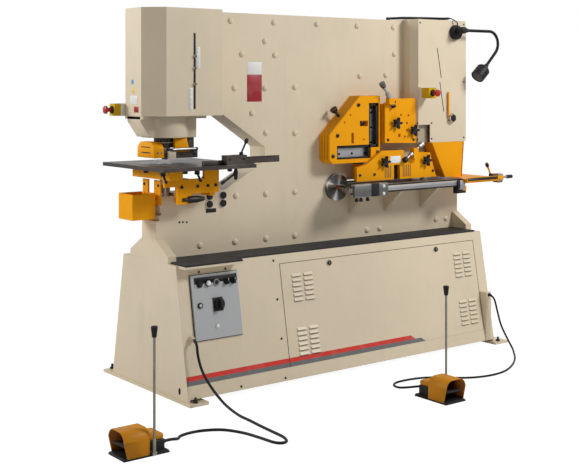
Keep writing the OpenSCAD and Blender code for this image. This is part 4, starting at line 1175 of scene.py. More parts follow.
class IRONWORKER_OT_casing_trim(bpy.types.Operator):
    """Adds the two scales, the slot with its stop pins and the plain fields of the punch casing"""

    bl_idname = "ironworker.casing_trim"
    bl_label = "Casing trim"

    def execute(self, context):
        face = CASING_FACE
        self.scale("stroke_scale", (187, 212), (1032, 1145))
        self.scale("height_scale", (141, 165), (807, 925))
        # A black strip painted as the shade inside the casing's slot
        slot = slab("slot_dark", (173, 181), (face + 0.5, face + 1.2), (813, 1218), edge=0)
        fit(slot, BODY, "black_moulding_and_shade")
        lip = [slab("lip", (x, x + 1.6), (face - 1, face), (811, 1220), edge=0.3) for x in (170.4, 182)]
        fit(join("slot_lips", *lip), BODY, "bolt_steel_and_shade")
        pin = turned("stop_pins", (177, face - 12, 0), (0, -1, 0), rounded(5, 3, 1), sides=20)
        fit(copies(pin, [(0, 0, z) for z in (946, 1032, 1096)]), BODY, "black_moulding_and_shade")
        thin = (-97, -96)
        fit(slab("white_field", thin, (-44, 32), (838, 884), edge=0.3), BODY, "plain_plate_and_highlight")
        fit(slab("small_field", thin, (-12, 8), (898, 926), edge=0.3), BODY, "yellow_field")
        spot = turned("blue_field", (-96, 6, 957), (-1, 0, 0), [(13, 0), (13, 0.8), (12, 0.8)], sides=32)
        fit(spot, BODY, "blue_spot")
        fit(slab("red_field", thin, (-58, -10), (795, 826), edge=0.3), BODY, "red_field")
        return {"FINISHED"}

    def scale(self, name, xs, zs):
        """A pale plate with plain tick marks, every fifth of them a long one"""
        pitch, margin, inset = 5, 5, 2
        ys = (CASING_FACE - 1.4, CASING_FACE - 1)
        plain = slab(name, xs, (CASING_FACE - 1.2, CASING_FACE), zs, edge=0.3)
        tick = slab(f"{name}_ticks", (0, 6), ys, (0, 0.9), edge=0)
        steps = int((zs[1] - zs[0] - 2 * margin) / pitch)
        left, foot = xs[0] + inset, zs[0] + margin
        marks = copies(tick, [(left, 0, foot + pitch * k) for k in range(steps + 1)])
        long = slab(f"{name}_long", (0, 12), ys, (0, 1.2), edge=0)
        long = copies(long, [(left, 0, foot + 5 * pitch * k) for k in range(steps // 5 + 1)])
        ink = join(f"{name}_marks", marks, long)
        fit(plain, BODY, "plain_plate_and_highlight")
        fit(ink, BODY, "black_moulding_and_shade")


# ---------------------------------------------------------------- punch station


class IRONWORKER_OT_punch_head(bpy.types.Operator):
    """Adds the coupling nut's grips, the stripper's hood and the fittings beside them"""

    bl_idname = "ironworker.punch_head"
    bl_label = "Punch head"

    def execute(self, context):
        self.nut()
        self.hood()
        self.bracket()
        return {"FINISHED"}

    def nut(self):
        """The coupling nut's grips, and the pale ring under them"""
        ram_x, top, grips = 100, 657.7, 20
        grip = slab("nut_grips", (57.0, 59.4), (-3.2, 3.2), (top - 27, top - 1), edge=0.8)
        centre = Matrix.Translation((ram_x, 0, 0))
        turns = [centre @ Matrix.Rotation(math.tau * k / grips, 4, "Z") for k in range(grips)]
        fit(copies_at(grip, turns), BODY, "bolt_steel_and_shade", body="punch_ram")
        ring = turned("nut_ring", (ram_x, 0, top - 30), (0, 0, 1), [
            (59.5, 0), (60.5, 1), (60.5, 3), (59.5, 4),
        ], sides=48)
        fit(ring, BODY, "plain_plate_and_highlight", body="punch_ram")

    def hood(self):
        """The stripper's hood: a folded shell with dark slots and a pale mark"""
        body = plate_across("hood_shell", (-19, 41), [
            (-90, 550), (90, 550), (90, 605), (60, 635), (-60, 635), (-90, 605),
        ], edge=3)
        mouth = slab("mouth", (-14, 36), (-60, 60), (540, 622), edge=0)
        fit(cut(body, mouth), BODY, "amber_paint", body="stripper_hood", stands_for=("stripper_hood",))
        # Black strips painted as the shade inside the hood's slots
        dark = [
            slab("slot", (-4, 28), (-90.5, -88), (574, 581), edge=1),
            slab("slot", (-19.5, -17), (-46, 46), (574, 581), edge=1),
            slab("slot", (-19.5, -17), (-46, 46), (604, 610), edge=1),
        ]
        fit(join("hood_slots", *dark), BODY, "black_moulding_and_shade", body="stripper_hood")
        pale = slab("hood_slot_marks", (8, 20), (-90.9, -88), (575.5, 579.5), edge=0.6)
        fit(pale, BODY, "plain_plate_and_highlight", body="stripper_hood")

    def bracket(self):
        """The casing's column and web beside the ram, and the stripper's wing, rod, block and screws"""
        column = slab("casing_column", (200, 262), (-66, 66), (655, 764), edge=2)
        fit(column, BODY, "beige_paint")
        corners = [(-92, 774), (-92, 746), (-34, 662), (20, 658), (20, 774)]
        web = plate("casing_web", corners, (-70, 70), edge=2)
        fit(web, BODY, "beige_paint")
        wing = plate("stripper_wing", [(112, 578), (206, 578), (186, 656), (112, 656)], (-86, -66), edge=1)
        fit(wing, BODY, "amber_paint")
        rod = turned("stripper_rod", (90, -96, 594), (1, 0, 0), rounded(8, 150, 1.5), sides=20)
        fit(rod, BODY, "ground_steel")
        tip = turned("stripper_rod_tip", (238, -96, 594), (1, 0, 0), rounded(9.5, 11, 2), sides=20)
        fit(tip, BODY, "black_moulding_and_shade")
        fit(slab("stripper_block", (66, 116), (-92, -79), (546, 586), edge=2), BODY, "beige_paint")
        bolt = hex_screw("stripper_bolts", (0, -78, 0), (0, -1, 0), 7, 5)
        fit(spread(bolt, [(160, 566), (240, 566)]), BODY, "bolt_steel_and_shade")


class IRONWORKER_OT_punch_table(bpy.types.Operator):
    """Builds the table's levers, knobs, slots and die ring, and the ruler's marks, lever and rail"""

    bl_idname = "ironworker.punch_table"
    bl_label = "Punch table"

    def execute(self, context):
        for side, x, y in (("left", -62, -250), ("right", 140, -262)):
            self.lever(side, x, y)
        self.ruler()
        knob = turned("table_knobs", (0, 0, 492.5), (0, 0, -1), rounded(13, 14, 3), sides=20)
        places = [(-88, -292, 0), (-88, -120, 0), (40, -304, 0), (320, -304, 0)]
        fit(copies(knob, places), BODY, "black_moulding_and_shade")
        # Black strips painted as the shade inside the table's slots
        slots = slab("table_slots", (150, 440), (-4, 4), (TABLE_TOP - 0.4, TABLE_TOP + 0.3), edge=0)
        fit(copies(slots, [(0, -180, 0), (0, 180, 0)]), BODY, "black_moulding_and_shade")
        rim = turned("die_ring", (101, 0, TABLE_TOP), (0, 0, 1), [
            (44, -0.4), (44, 0.5), (43, 0.8), (29, 0.8),
        ], sides=40)
        bore = turned("bore", (101, 0, TABLE_TOP - 2), (0, 0, 1), [(28.9, 0), (28.9, 6)], sides=32)
        fit(cut(rim, bore), BODY, "ground_steel")
        return {"FINISHED"}

    def lever(self, side, x, y):
        """A clamp lever under the table, whose rod runs forwards, down and a little to the left"""
        under = 492.7
        lean, turn = math.radians(112), math.radians(-20)
        way = Vector((math.sin(lean) * math.sin(turn), -math.sin(lean) * math.cos(turn), math.cos(lean)))
        hinge = Vector((0, 0, -16))
        foot = turned("foot", (0, 0, -24), (0, 0, 1), rounded(14, 24, 2), sides=24)
        rod = turned("rod", hinge, way, [(6, 0), (6, 74), (7, 76)], sides=16)
        ball = turned("ball", hinge + way * 72, way, [
            (5, 0), (7.6, 4), (8.8, 9), (8.8, 14), (7.6, 20), (4, 23), (1, 24),
        ], sides=20)
        lever = moved(join(f"clamp_lever_{side}", foot, rod, ball), (x, y, under))
        node = f"table_lever_{side}"
        fit(lever, BODY, "black_moulding_and_shade", body=node, stands_for=(node,))

    def ruler(self):
        """The ruler's tick marks, its clamp lever, and the rail and screws of its block"""
        bottom, pitch = TABLE_TOP + 4.3, 5
        ys = (-302.4, -301.9)
        tick = slab("ruler_ticks", (0, 0.9), ys, (0, 7), edge=0)
        ticks = copies(tick, [(296 + pitch * k, 0, bottom + 28) for k in range(71)])
        long = slab("ruler_long", (0, 1.2), ys, (0, 14), edge=0)
        longs = copies(long, [(296 + 5 * pitch * k, 0, bottom + 21) for k in range(15)])
        fit(join("ruler_marks", ticks, longs), BODY, "black_moulding_and_shade", body="ruler_bar")
        hub = turned("hub", (0, 0, 0), (0, 0, 1), rounded(11, 14, 2), sides=24)
        way, hinge = leaning(28), Vector((0, 0, 8))
        rod = turned("rod", hinge, way, [(5, 0), (5, 60), (6, 62)], sides=16)
        grip = turned("grip", hinge + way * 58, way, [
            (5, 0), (9, 4), (11, 14), (10.5, 24), (7, 29), (2, 30.5),
        ], sides=20)
        lever = moved(join("ruler_clamp", hub, rod, grip), (400, -296, TABLE_TOP + 52.3))
        fit(lever, BODY, "black_moulding_and_shade", body="ruler_lever", stands_for=("ruler_lever",))
        rail = slab("ruler_rail", (168, 288.6), (-287, -262), (TABLE_TOP, TABLE_TOP + 26), edge=1.5)
        fit(rail, BODY, "black_steel")
        screw = hex_screw("ruler_block_screws", (0, -322, 0), (0, -1, 0), 7, 5)
        fit(spread(screw, [(310, 545), (400, 545)]), BODY, "bolt_steel_and_shade")


class IRONWORKER_OT_under_table(bpy.types.Operator):
    """Adds the bolts, the spindle, the block's lever and the slug box's rim under the punch table"""

    bl_idname = "ironworker.under_table"
    bl_label = "Under the table"

    def execute(self, context):
        bolt = hex_screw("bracket_bolts", (0, CASING_FACE, 0), (0, -1, 0), 9, 7)
        fit(spread(bolt, [(x, 398) for x in (96, 196, 262, 312)]), BODY, "bolt_steel_and_shade")
        bolt = hex_screw("chute_bolts", (14, 0, 0), (-1, 0, 0), 8, 6)
        fit(copies(bolt, [(0, -78, 404), (0, 70, 404)]), BODY, "bolt_steel_and_shade")
        spindle = turned("bracket_spindle", (100, CASING_FACE + 1, 329), (1, 0, 0), [
            (9, 0), (10, 2), (10, 30), (17, 34), (19, 44), (19, 92), (17, 104), (13, 128), (10.5, 137),
        ], sides=24)
        fit(spindle, BODY, "bolt_steel_and_shade")
        self.block_lever()
        self.box()
        return {"FINISHED"}

    def block_lever(self):
        """The lever that hangs under the ruler's clamp block"""
        top = (372, -285, 492.5)
        hub = turned("hub", top, (0, 0, -1), [
            (9, 0), (9, 12), (12, 16), (11, 44), (8, 60), (5, 62),
        ], sides=20)
        way = Vector((-92, 0, -52)).normalized()
        rod = turned("rod", Vector(top) + Vector((0, 0, -26)), way, [
            (6, 0), (6, 84), (9, 88), (9, 106), (6, 108),
        ], sides=16)
        fit(join("block_lever", hub, rod), BODY, "black_moulding_and_shade")

    def box(self):
        """Rolls the rim of the slug box"""
        left, right, half, top = -142, -4, 75, 363
        rim = [
            slab("rim", (left, right), (-half, -half + 5), (top - 4, top), edge=1.4),
            slab("rim", (left, left + 5), (-half, half), (top - 4, top), edge=1.4),
            slab("rim", (left, right), (half - 5, half), (top - 4, top), edge=1.4),
        ]
        fit(join("slug_box_rim", *rim), BODY, "amber_paint")


# ---------------------------------------------------------------- emergency stops


class IRONWORKER_OT_emergency_stops(bpy.types.Operator):
    """Builds the two mushroom heads with their bored rings and pale feet"""

    bl_idname = "ironworker.emergency_stops"
    bl_label = "Emergency stops"

    def execute(self, context):
        left = {"along": (-1, 0, 0), "front": (-160, 115, 808), "tall": 40, "side": "left"}
        right = {"along": (0, -1, 0), "front": (1870, -270, 890), "tall": 45, "side": "right"}
        for stop in (left, right):
            self.build(**stop)
        foot = slab("stop_foot_right", (1835.5, 1904.5), (-206, -180), (855.5, 924.5), edge=2)
        fit(foot, BODY, "plain_plate_and_highlight")
        foot = slab("stop_foot_left", (-122, -98), (86, 144), (774, 842), edge=2)
        fit(foot, BODY, "plain_plate_and_highlight")
        return {"FINISHED"}

    def build(self, along, front, tall, side):
        """One stop: a ring on its housing's front, and the head that slides in it"""
        way, base = Vector(along), Vector(front)
        ring = turned(f"stop_ring_{side}", base, way, [(21, 0), (21, 4), (18.5, 8), (15, 8.2)], sides=36)
        bore = turned("bore", base - way * 2, way, [(11.8, 0), (11.8, 14)], sides=36)
        fit(cut(ring, bore), BODY, "black_moulding_and_shade")
        head = turned(f"stop_head_{side}", base + way * 8.3, way, [
            (11, 0), (11, tall - 18), (15, tall - 15), (22, tall - 13), (22, tall - 6),
            (20, tall - 2.5), (15, tall - 0.6), (4, tall),
        ], sides=40)
        node = f"estop_{side}_button"
        fit(head, BODY, "red_moulding", body=node, stands_for=(node,))


# ---------------------------------------------------------------- shears


def edge_line(a, b, ys, lift):
    """A thin line along one edge of a plate, from a to b in X and Z"""
    start, end = Vector(a), Vector(b)
    side = (end - start).normalized()
    out = Vector((-side.y, side.x)) * lift
    return plate("line", [tuple(p) for p in (start, end, end + out, start + out)], ys, edge=0)


class IRONWORKER_OT_angle_guard(bpy.types.Operator):
    """Adds the stacked edges, bolts, holes, the dark window rims painted as shade, and the screws of the
    angle shear
    """

    bl_idname = "ironworker.angle_guard"
    bl_label = "Angle shear guard"

    def execute(self, context):
        face = ANGLE_FACE
        edges = [((1124, 500), (1124, 645)), ((1124, 647), (1360, 873)), ((1362, 874), (1521, 874))]
        fronts = (face + 20, face + 44, face + 68)
        lines = [edge_line(a, b, (y, y + 2.2), 0.9) for a, b in edges for y in fronts]
        fit(join("stacked_edges", *lines), BODY, "seam_and_shade_brown")
        bolt = hex_screw("angle_guard_bolts", (0, face, 0), (0, -1, 0), 12, 8)
        fit(spread(bolt, [(1349, 820), (1185, 640), (1503, 532), (1150, 520)]), BODY, "bolt_steel_and_shade")
        # Black discs painted as the shade inside the guard's holes
        hole = turned("angle_guard_holes", (0, face + 6, 0), (0, -1, 0), [(8.5, -6.6), (8.5, -6)], sides=18)
        fit(spread(hole, [(1286, 761), (1239, 717), (1393, 612)]), BODY, "black_moulding_and_shade")
        fit(hex_screw("slot_bolt", (1387, face + 12, 708), (0, -1, 0), 15, 10), BODY, "bolt_steel_and_shade")
        # Dark rims inside the guard's windows, painted as the shade round the blades
        fit(self.frames(face + 8), BODY, "bolt_steel_and_shade")
        # A black strip painted as the shade inside the upright slot
        dark = slab("upright_slot", (1296, 1311), (face + 18, face + 20), (592, 651), edge=0)
        fit(dark, BODY, "black_moulding_and_shade")
        stub = turned("guard_stub", (1236, -120, 752), leaning(-43.9), [
            (9.6, 0), (9.6, 42), (18.6, 42), (24.6, 63), (22, 64.6), (1, 64.6),
        ], sides=32)
        fit(stub, BODY, "bolt_steel_and_shade")
        screw = hex_screw("blade_screws", (0, -132.5, 0), (0, -1, 0), 7.5, 5)
        spots = [(1482, 592), (1482, 682), (1482, 772), (1226, 529), (1326, 529), (1426, 529)]
        fit(spread(screw, spots), BODY, "bolt_steel_and_shade")
        return {"FINISHED"}

    def frames(self, depth):
        """Dark rims inside each window of the guard, painted as the shade round the blades"""
        windows = (
            ((1434, 1513), (563, 830), 17),
            ((1182, 1448), (499, 579), 12),
        )
        ys = (depth, depth + 22)
        made = []
        for (left, right), (low, high), rim in windows:
            made += [
                slab("rim", (left, left + rim), ys, (low, high), edge=1),
                slab("rim", (right - rim, right), ys, (low, high), edge=1),
                slab("rim", (left, right), ys, (high - rim, high), edge=1),
                slab("rim", (left, right), ys, (low, low + rim), edge=1),
            ]
        return join("window_shade_rims", *made)


class IRONWORKER_OT_bar_guards(bpy.types.Operator):
    """Adds the edges, holes, bolts, slits, plate and spindles of the bar and flat shears"""

    bl_idname = "ironworker.bar_guards"
    bl_label = "Bar and flat shear guards"

    def execute(self, context):
        face = GUARD_FACE
        edges = [((1541, 588), (1541, 823)), ((1542, 824), (1606, 854)), ((1387, 460.5), (1516, 539.5))]
        lines = [edge_line(a, b, (face + 10, face + 12), 0.9) for a, b in edges]
        fit(join("guard_edges", *lines), BODY, "seam_and_shade_brown")
        # Black discs painted as the shade inside the guard's holes
        hole = turned("bar_guard_holes", (0, face + 8, 0), (0, -1, 0), [(9, -8.6), (9, -8)], sides=20)
        spots = [(1674, 755), (1737, 751), (1724, 704), (1724, 661), (1707, 621)]
        fit(spread(hole, spots), BODY, "black_moulding_and_shade")
        bolt = hex_screw("guard_bolts", (0, face, 0), (0, -1, 0), 9, 6)
        spots = [(1566, 605), (1780, 600), (1620, 836), (1340, 400), (1948, 400), (1455, 400)]
        fit(spread(bolt, spots), BODY, "bolt_steel_and_shade")
        # Dark brown strips painted as the shade inside the guard's slits
        slit = slab("guard_slits", (-1, 6), (face - 0.4, face + 3), (374, 447), edge=0)
        pitch = 15
        lefts = [1540 + pitch * k for k in range(4)] + [1690 + pitch * k for k in range(5)]
        fit(copies(slit, [(x, 0, 0) for x in lefts]), BODY, "seam_and_shade_brown")
        # A black sheet painted as the shade in the gap between the guards
        gap = slab("guard_gap", (1613, 1667), (face + 24, face + 26), (362, 448), edge=0)
        fit(gap, BODY, "black_moulding_and_shade")
        fit(slab("guard_plate", (1584, 1672), (face - 1, face), (462, 504), edge=0.5), BODY, "white_plastic")
        rivet = turned("plate_rivets", (0, face - 1, 0), (0, -1, 0), rounded(2.4, 1.4, 0.8), sides=12)
        fit(spread(rivet, [(x, z) for x in (1590, 1666) for z in (468, 498)]), BODY, "ground_steel")
        self.angle_spindle()
        self.flat_spindle()
        return {"FINISHED"}

    def spindle(self, node, centre, way, parts):
        """A spindle whose parts are given along its axis: a finish, a start and lathe steps"""
        made = []
        for finish, start, steps, sides in parts:
            part = turned(node, Vector(centre) + way * start, way, steps, sides=sides)
            made.append(tint(part, finish))
        place_parts(join(f"{node}_made", *made), BODY, node, (node,))

    def sleeve(self, name, centre, way, start, length):
        """A bush that stays on the guard while its spindle slides through it"""
        tube = turned(name, Vector(centre) + way * start, way, [
            (12.5, 0), (14, 1.5), (14, length - 9), (15.5, length - 8), (15.5, length),
        ], sides=32)
        before = Vector(centre) + way * (start - 5)
        bore = turned("bore", before, way, [(7.8, 0), (7.8, length + 10)], sides=32)
        fit(cut(tube, bore), BODY, "ground_steel")

    def angle_spindle(self):
        """The angle shear's spindle, which runs down to the right"""
        way, centre = Vector((90, 0, -129)).normalized(), (1574, -206.5, 848)
        self.sleeve("angle_sleeve", centre, way, -50, 30)
        self.spindle("angle_spindle", centre, way, [
            ("grey_steel", -128, rounded(18.5, 26, 4), 24),
            ("black_moulding_and_shade", -103, [(15, 0), (15, 7)], 24),
            ("ground_steel", -96, [(12.5, 0), (12.5, 12), (6.9, 13), (6.9, 144)], 24),
            ("black_moulding_and_shade", 40, rounded(15, 14, 2), 6),
        ])

    def flat_spindle(self):
        """The flat shear's spindle, which runs up to the right"""
        way, centre = leaning(57), (1775, -207.5, 529)
        self.sleeve("flat_sleeve", centre, way, -46, 19)
        self.spindle("flat_spindle", centre, way, [
            ("black_moulding_and_shade", -104, rounded(17, 26, 3), 24),
            ("ground_steel", -80, [(6.9, 0), (6.9, 150)], 24),
            ("ground_steel", 46, [(14, 0), (14, 20), (17, 21), (17, 36), (15, 38)], 24),
            ("black_moulding_and_shade", 82, [(9, 0), (9, 6)], 24),
        ])


class IRONWORKER_OT_star_knobs(bpy.types.Operator):
    """Builds the four star knobs of the guards"""

    bl_idname = "ironworker.star_knobs"
    bl_label = "Star knobs"

    def execute(self, context):
        knob = self.shape()
        for number, (x, z) in enumerate(((1626, 706), (1772, 659), (1528, 473), (1881, 468)), 1):
            grip = twin(knob, Matrix.Translation((x, GUARD_FACE - 0.3, z)))
            grip.name = f"star_grip_{number}"
            node = f"star_knob_{number}"
            fit(grip, BODY, "black_moulding_and_shade", body=node, stands_for=(node,))
        bpy.data.objects.remove(knob)
        return {"FINISHED"}

    def shape(self):
        """A stem under a head of five lobes, with a round button in its middle"""
        stem = turned("stem", (0, 0, 0), (0, -1, 0), [(10, 0), (8.2, 6), (8.2, 13), (17, 14)], sides=24)
        corners, lobes, middle, swell = 80, 5, 26, 11.5
        points = []
        for k in range(corners):
            turn = math.tau * k / corners
            reach = middle + swell * math.cos(lobes * turn)
            points.append((reach * math.cos(turn), reach * math.sin(turn)))
        head = plate("head", points, (-29, -12.5), edge=2)
        press(head, facing((0, -1, 0)), 3, 1.2)
        button = turned("button", (0, -26.6, 0), (0, -1, 0), rounded(9, 2.6, 1), sides=24)
        return join("star", stem, head, button)


class IRONWORKER_OT_pivot(bpy.types.Operator):
    """Adds the turned ring and the coloured middle of the pivot's head"""

    bl_idname = "ironworker.pivot"
    bl_label = "Pivot"

    def execute(self, context):
        centre = (1248, PLATE_FACE - 22, 327)
        ring = turned("pivot_rim", centre, (0, -1, 0), [
            (81, -2), (81, 0.6), (79, 2), (70, 2), (69, 0.4),
        ], sides=64)
        fit(ring, BODY, "turned_steel")
        fit(turned("pivot_spot", centre, (0, -1, 0), rounded(10, 2.6, 0.8), sides=32), BODY, "stripe_red")
        return {"FINISHED"}


class IRONWORKER_OT_bench(bpy.types.Operator):
    """Adds the rail, whose lower strip is painted dark as shade, the top, the lip, the fence and the end
    fittings of the shear bench
    """

    bl_idname = "ironworker.bench"
    bl_label = "Shear bench"

    def execute(self, context):
        front = PLATE_FACE - 185
        xs, ys = (1204.8, 2152.2), (front - 12.2, front)
        rail = slab("bench_rail", xs, ys, (306, 330.2), edge=0.6)
        fit(rail, BODY, "ground_steel")
        # The rail's lower strip is painted dark as shade under its lit upper part
        foot = slab("bench_rail_painted_shade", xs, ys, (295.8, 306), edge=0.4)
        fit(foot, BODY, "bolt_steel_and_shade")
        top = slab("bench_top", (1205, 2148), (front + 2, PLATE_FACE - 2), (344.6, 345.5), edge=0.3)
        fit(top, BODY, "black_steel")
        lip = slab("bench_lip", (1202, 2150), (front - 1, front + 1), (334, 344.5), edge=0.4)
        fit(lip, BODY, "bolt_steel_and_shade")
        self.fence(front)
        ends = [
            tint(slab("end", (2100, 2158), (front - 16, front - 11), (276, 330), edge=1.5), "ground_steel"),
            tint(slab("end", (2086, 2110), (front - 18, front - 12), (280, 338), edge=1.5), "black_moulding_and_shade"),
            tint(slab("end", (2086, 2170), (front - 10, front + 24), (252, 296), edge=2), "black_moulding_and_shade"),
            tint(slab("end", (2140, 2174), (front - 11, front - 9), (268, 296), edge=0.5), "amber_paint"),
        ]
        place_parts(join("bench_end", *ends), BODY, "machine")
        return {"FINISHED"}

    def fence(self, front):
        """The sliding fence: a grey block, a black slot, a clamp with two bright bolts and three screws"""
        ys = (front - 36.5, front - 12.6)
        parts = [
            tint(slab("block", (1214.5, 1346), ys, (280.5, 350), edge=2.5), "grey_steel"),
            tint(slab("slot", (1340, 1404), (ys[0] - 0.3, ys[1]), (280.6, 356.3), edge=1), "black_moulding_and_shade"),
            tint(slab("clamp", (1400, 1475.5), ys, (279.6, 356.4), edge=2.5), "grey_steel"),
            tint(slab("top", (1216, 1346), (ys[0] + 2, ys[1]), (349, 356.2), edge=1), "ground_steel"),
        ]
        for z in (294, 338):
            bolt = turned("bolt", (1437, ys[0], z), (0, -1, 0), [(11, -1), (11, 5), (8, 7)], sides=6)
            parts.append(tint(bolt, "plain_plate_and_highlight"))
        place_parts(join("fence_face", *parts), BODY, "shear_fence")
        screw = turned("fence_screws", (0, front - 24, 281), (0, 0, -1), [
            (8, 0), (8, 12), (11, 13), (11, 24), (9, 26),
        ])
        screws = copies(screw, [(x, 0, 0) for x in (1236, 1270, 1322)])
        fit(screws, BODY, "black_moulding_and_shade", body="shear_fence")


class IRONWORKER_OT_cover_trim(bpy.types.Operator):
    """Adds the slots and the cut-out's back, both painted dark as shade, the gauge rod, the knob and the
    screws of the shear cover
    """

    bl_idname = "ironworker.cover_trim"
    bl_label = "Cover trim"

    def execute(self, context):
        face = CASING_FACE
        thin = (face - 0.9, face + 0.2)
        # Black strips painted as the shade inside the cover's slanting slots
        slots = [
            edge_line((1997, 1174), (2033, 984), thin, 5),
            edge_line((2020, 958), (2056, 770), thin, 5),
        ]
        fit(join("cover_slots", *slots), BODY, "black_moulding_and_shade")
        rod = turned("gauge_rod", (2092, face - 9, 740), (0, 0, 1), rounded(6.6, 155, 2), sides=20)
        fit(rod, BODY, "amber_paint")
        knob = turned("cover_knob", (2123, face, 728), (0, -1, 0), [
            (30, 0), (30, 18), (26, 23), (1, 24),
        ], sides=6, edge=1)
        fit(knob, BODY, "black_moulding_and_shade")
        # The cut-out's back is painted darker beige as the shade in the recess
        back = slab("cut_out_back", (1830, 1942), (-150, -146), (577, 690), edge=0)
        fit(back, BODY, "beige_painted_shade")
        screw = hex_screw("cover_screws", (0, face, 0), (0, -1, 0), 5.5, 4)
        spots = [
            (1826, 600), (1826, 700), (1950, 600), (1950, 700),
            (1850, 1330), (2240, 1330), (2240, 960), (2240, 600),
        ]
        fit(spread(screw, spots), BODY, "bolt_steel_and_shade")
        return {"FINISHED"}


class IRONWORKER_OT_notcher(bpy.types.Operator):
    """Adds the stop block and its rod, the clamp lever and the dark edges of the notcher"""

    bl_idname = "ironworker.notcher"
    bl_label = "Notcher"

    def execute(self, context):
        block = slab("stop_block", (2449.6, 2495.4), (-287.4, -236.6), (309.6, 360.4), edge=3)
        fit(block, BODY, "grey_plastic")
        foot = slab("stop_block_foot", (2452, 2493), (-286, -238), (303, 310), edge=2)
        fit(foot, BODY, "black_moulding_and_shade")
        hub = turned("hub", (2406, -262, 340), (0, 0, 1), rounded(13, 23, 2), sides=24)
        way, hinge = leaning(-28), Vector((2406, -262, 356))
        rod = turned("rod", hinge, way, [(5.4, 0), (5.6, 58)], sides=16)
        grip = turned("grip", hinge + way * 56, way, [
            (6, 0), (9.5, 4), (12, 14), (11, 26), (7, 32), (2, 34),
        ], sides=20)
        fit(join("notch_lever", hub, rod, grip), BODY, "black_moulding_and_shade")
        rod = turned("notch_rod", (2496, -262, 335), (1, 0, 0), rounded(8.2, 66, 1), sides=20)
        fit(rod, BODY, "ground_steel", body="notch_stop")
        edge = slab("notch_table_edge", (2160, 2440), (-294, -292.8), (328, 346), edge=0.3)
        fit(edge, BODY, "bolt_steel_and_shade")
        # A black strip painted as the shade inside the guard's slit
        slit = edge_line((2219.5, 350), (2238, 570), (CASING_FACE - 0.8, CASING_FACE + 2), 4)
        fit(slit, BODY, "black_moulding_and_shade", body="notching_guard")
        return {"FINISHED"}


# ---------------------------------------------------------------- lamp


# The lamp, in millimetres of the body: its foot, and its neck, which runs level and then bends down
FOOT_X = 2155
NECK_Y, NECK_Z = -248, 1288
NECK_START_X, NECK_TURN_X = 2208, 2410
NECK_BEND, NECK_END = 80, 118
NECK_ARC = math.radians(135)
HEAD_WAY = leaning(229)

# Route of the lamp's cord in millimetres of the body, from the foot to its gland on the top
GLAND = (1696, -50)
LAMP_CORD = [
    (FOOT_X, -204, 1324), (FOOT_X, -204, 1338), (2147, -196, 1349), (2129, -174, 1365), (2095, -162, 1364),
    (2056, -156, 1363), (1950, -130, 1363), (1850, -96, 1363), (1790, -76, 1362), (1730, -58, 1358),
    (*GLAND, 1357),
]


def neck_path():
    """Places along the gooseneck, each with the direction in which it runs"""
    straight, step = NECK_TURN_X - NECK_START_X, 7.0
    bend = NECK_BEND * NECK_ARC
    places = []
    for k in range(int((straight + bend + NECK_END) / step)):
        run = k * step
        if run < straight:
            places.append((Vector((NECK_START_X + run, NECK_Y, NECK_Z)), Vector((1, 0, 0))))
            continue
        turn = math.radians(90) - min(run - straight, bend) / NECK_BEND
        centre = Vector((NECK_TURN_X, NECK_Y, NECK_Z - NECK_BEND))
        place = centre + NECK_BEND * Vector((math.cos(turn), 0, math.sin(turn)))
        way = Vector((math.sin(turn), 0, -math.cos(turn)))
        places.append((place + way * max(0, run - straight - bend), way))
    return places


def neck_tip():
    """The end of the gooseneck, where the head's ball sits"""
    last = math.sin(math.radians(45))
    return Vector((
        NECK_TURN_X + NECK_BEND * last - NECK_END * last, NECK_Y,
        NECK_Z - NECK_BEND - NECK_BEND * last - NECK_END * last,
    ))


class IRONWORKER_OT_lamp(bpy.types.Operator):
    """Builds the work lamp: its magnet foot, its ribbed neck and its head"""

    bl_idname = "ironworker.lamp"
    bl_label = "Lamp"

    def execute(self, context):
        path, tip = neck_path(), neck_tip()
        foot = turned("foot", (FOOT_X, CASING_FACE, 1277), (0, -1, 0), [
            (47, 0), (47, 23), (44, 29), (27, 30), (25, 30),
        ], sides=48)
        hub = turned("hub", (FOOT_X, -210, NECK_Z), (0, -1, 0), rounded(22, 62, 4), sides=32)
        corner = (FOOT_X, NECK_Y, NECK_Z)
        socket = turned("socket", corner, (1, 0, 0), [(15, 0), (15, 42), (11, 53)], sides=28)
        core = swept("core", [place for place, way in path] + [tip], 8.2, sides=12)
        rib = turned("rib", (0, 0, 0), (0, 0, 1), [
            (8, -2.6), (9.7, -1.4), (10, 0), (9.7, 1.4), (8, 2.6),
        ], sides=16)
        turns = [
            Matrix.Translation(place) @ way.to_track_quat("Z", "Y").to_matrix().to_4x4()
            for place, way in path[1:]
        ]
        ribs = copies_at(rib, turns)
        ball = turned("ball", tip - HEAD_WAY * 13, HEAD_WAY, [
            (4, 0), (9, 3), (12.2, 8), (13, 13), (12.2, 18), (9, 23), (4, 26),
        ], sides=24)
        arm = join("lamp_arm", foot, hub, socket, core, ribs, ball)
        fit(arm, BODY, "black_moulding_and_shade", stands_for=("lamp_base",))
        self.head(tip)
        return {"FINISHED"}

    def head(self, tip):
        """The shade with its groove, the lens in its mouth and the switch on its side"""
        shade = turned("lamp_shade", tip, HEAD_WAY, [
            (15, 13.6), (21, 16), (24, 26), (34, 30), (43, 40), (45, 44), (45, 52), (43.4, 53), (43.4, 56),
            (45, 57), (45, 112), (44, 118), (40, 119), (38, 112),
        ], sides=48)
        fit(shade, BODY, "black_moulding_and_shade", body="lamp_head", stands_for=("lamp_head",))
        glass = turned("lamp_window", tip + HEAD_WAY * 112.5, HEAD_WAY, [(38, 0), (38, 2), (30, 4)], sides=40)
        fit(glass, BODY, "lamp_glass", body="lamp_head")
        side = tip + Vector((0, -43, 0)) + HEAD_WAY * 70
        switch = turned("lamp_switch", side, (0, -1, 0), rounded(7, 6, 1.5), sides=20)
        fit(switch, BODY, "black_moulding_and_shade", body="lamp_head")


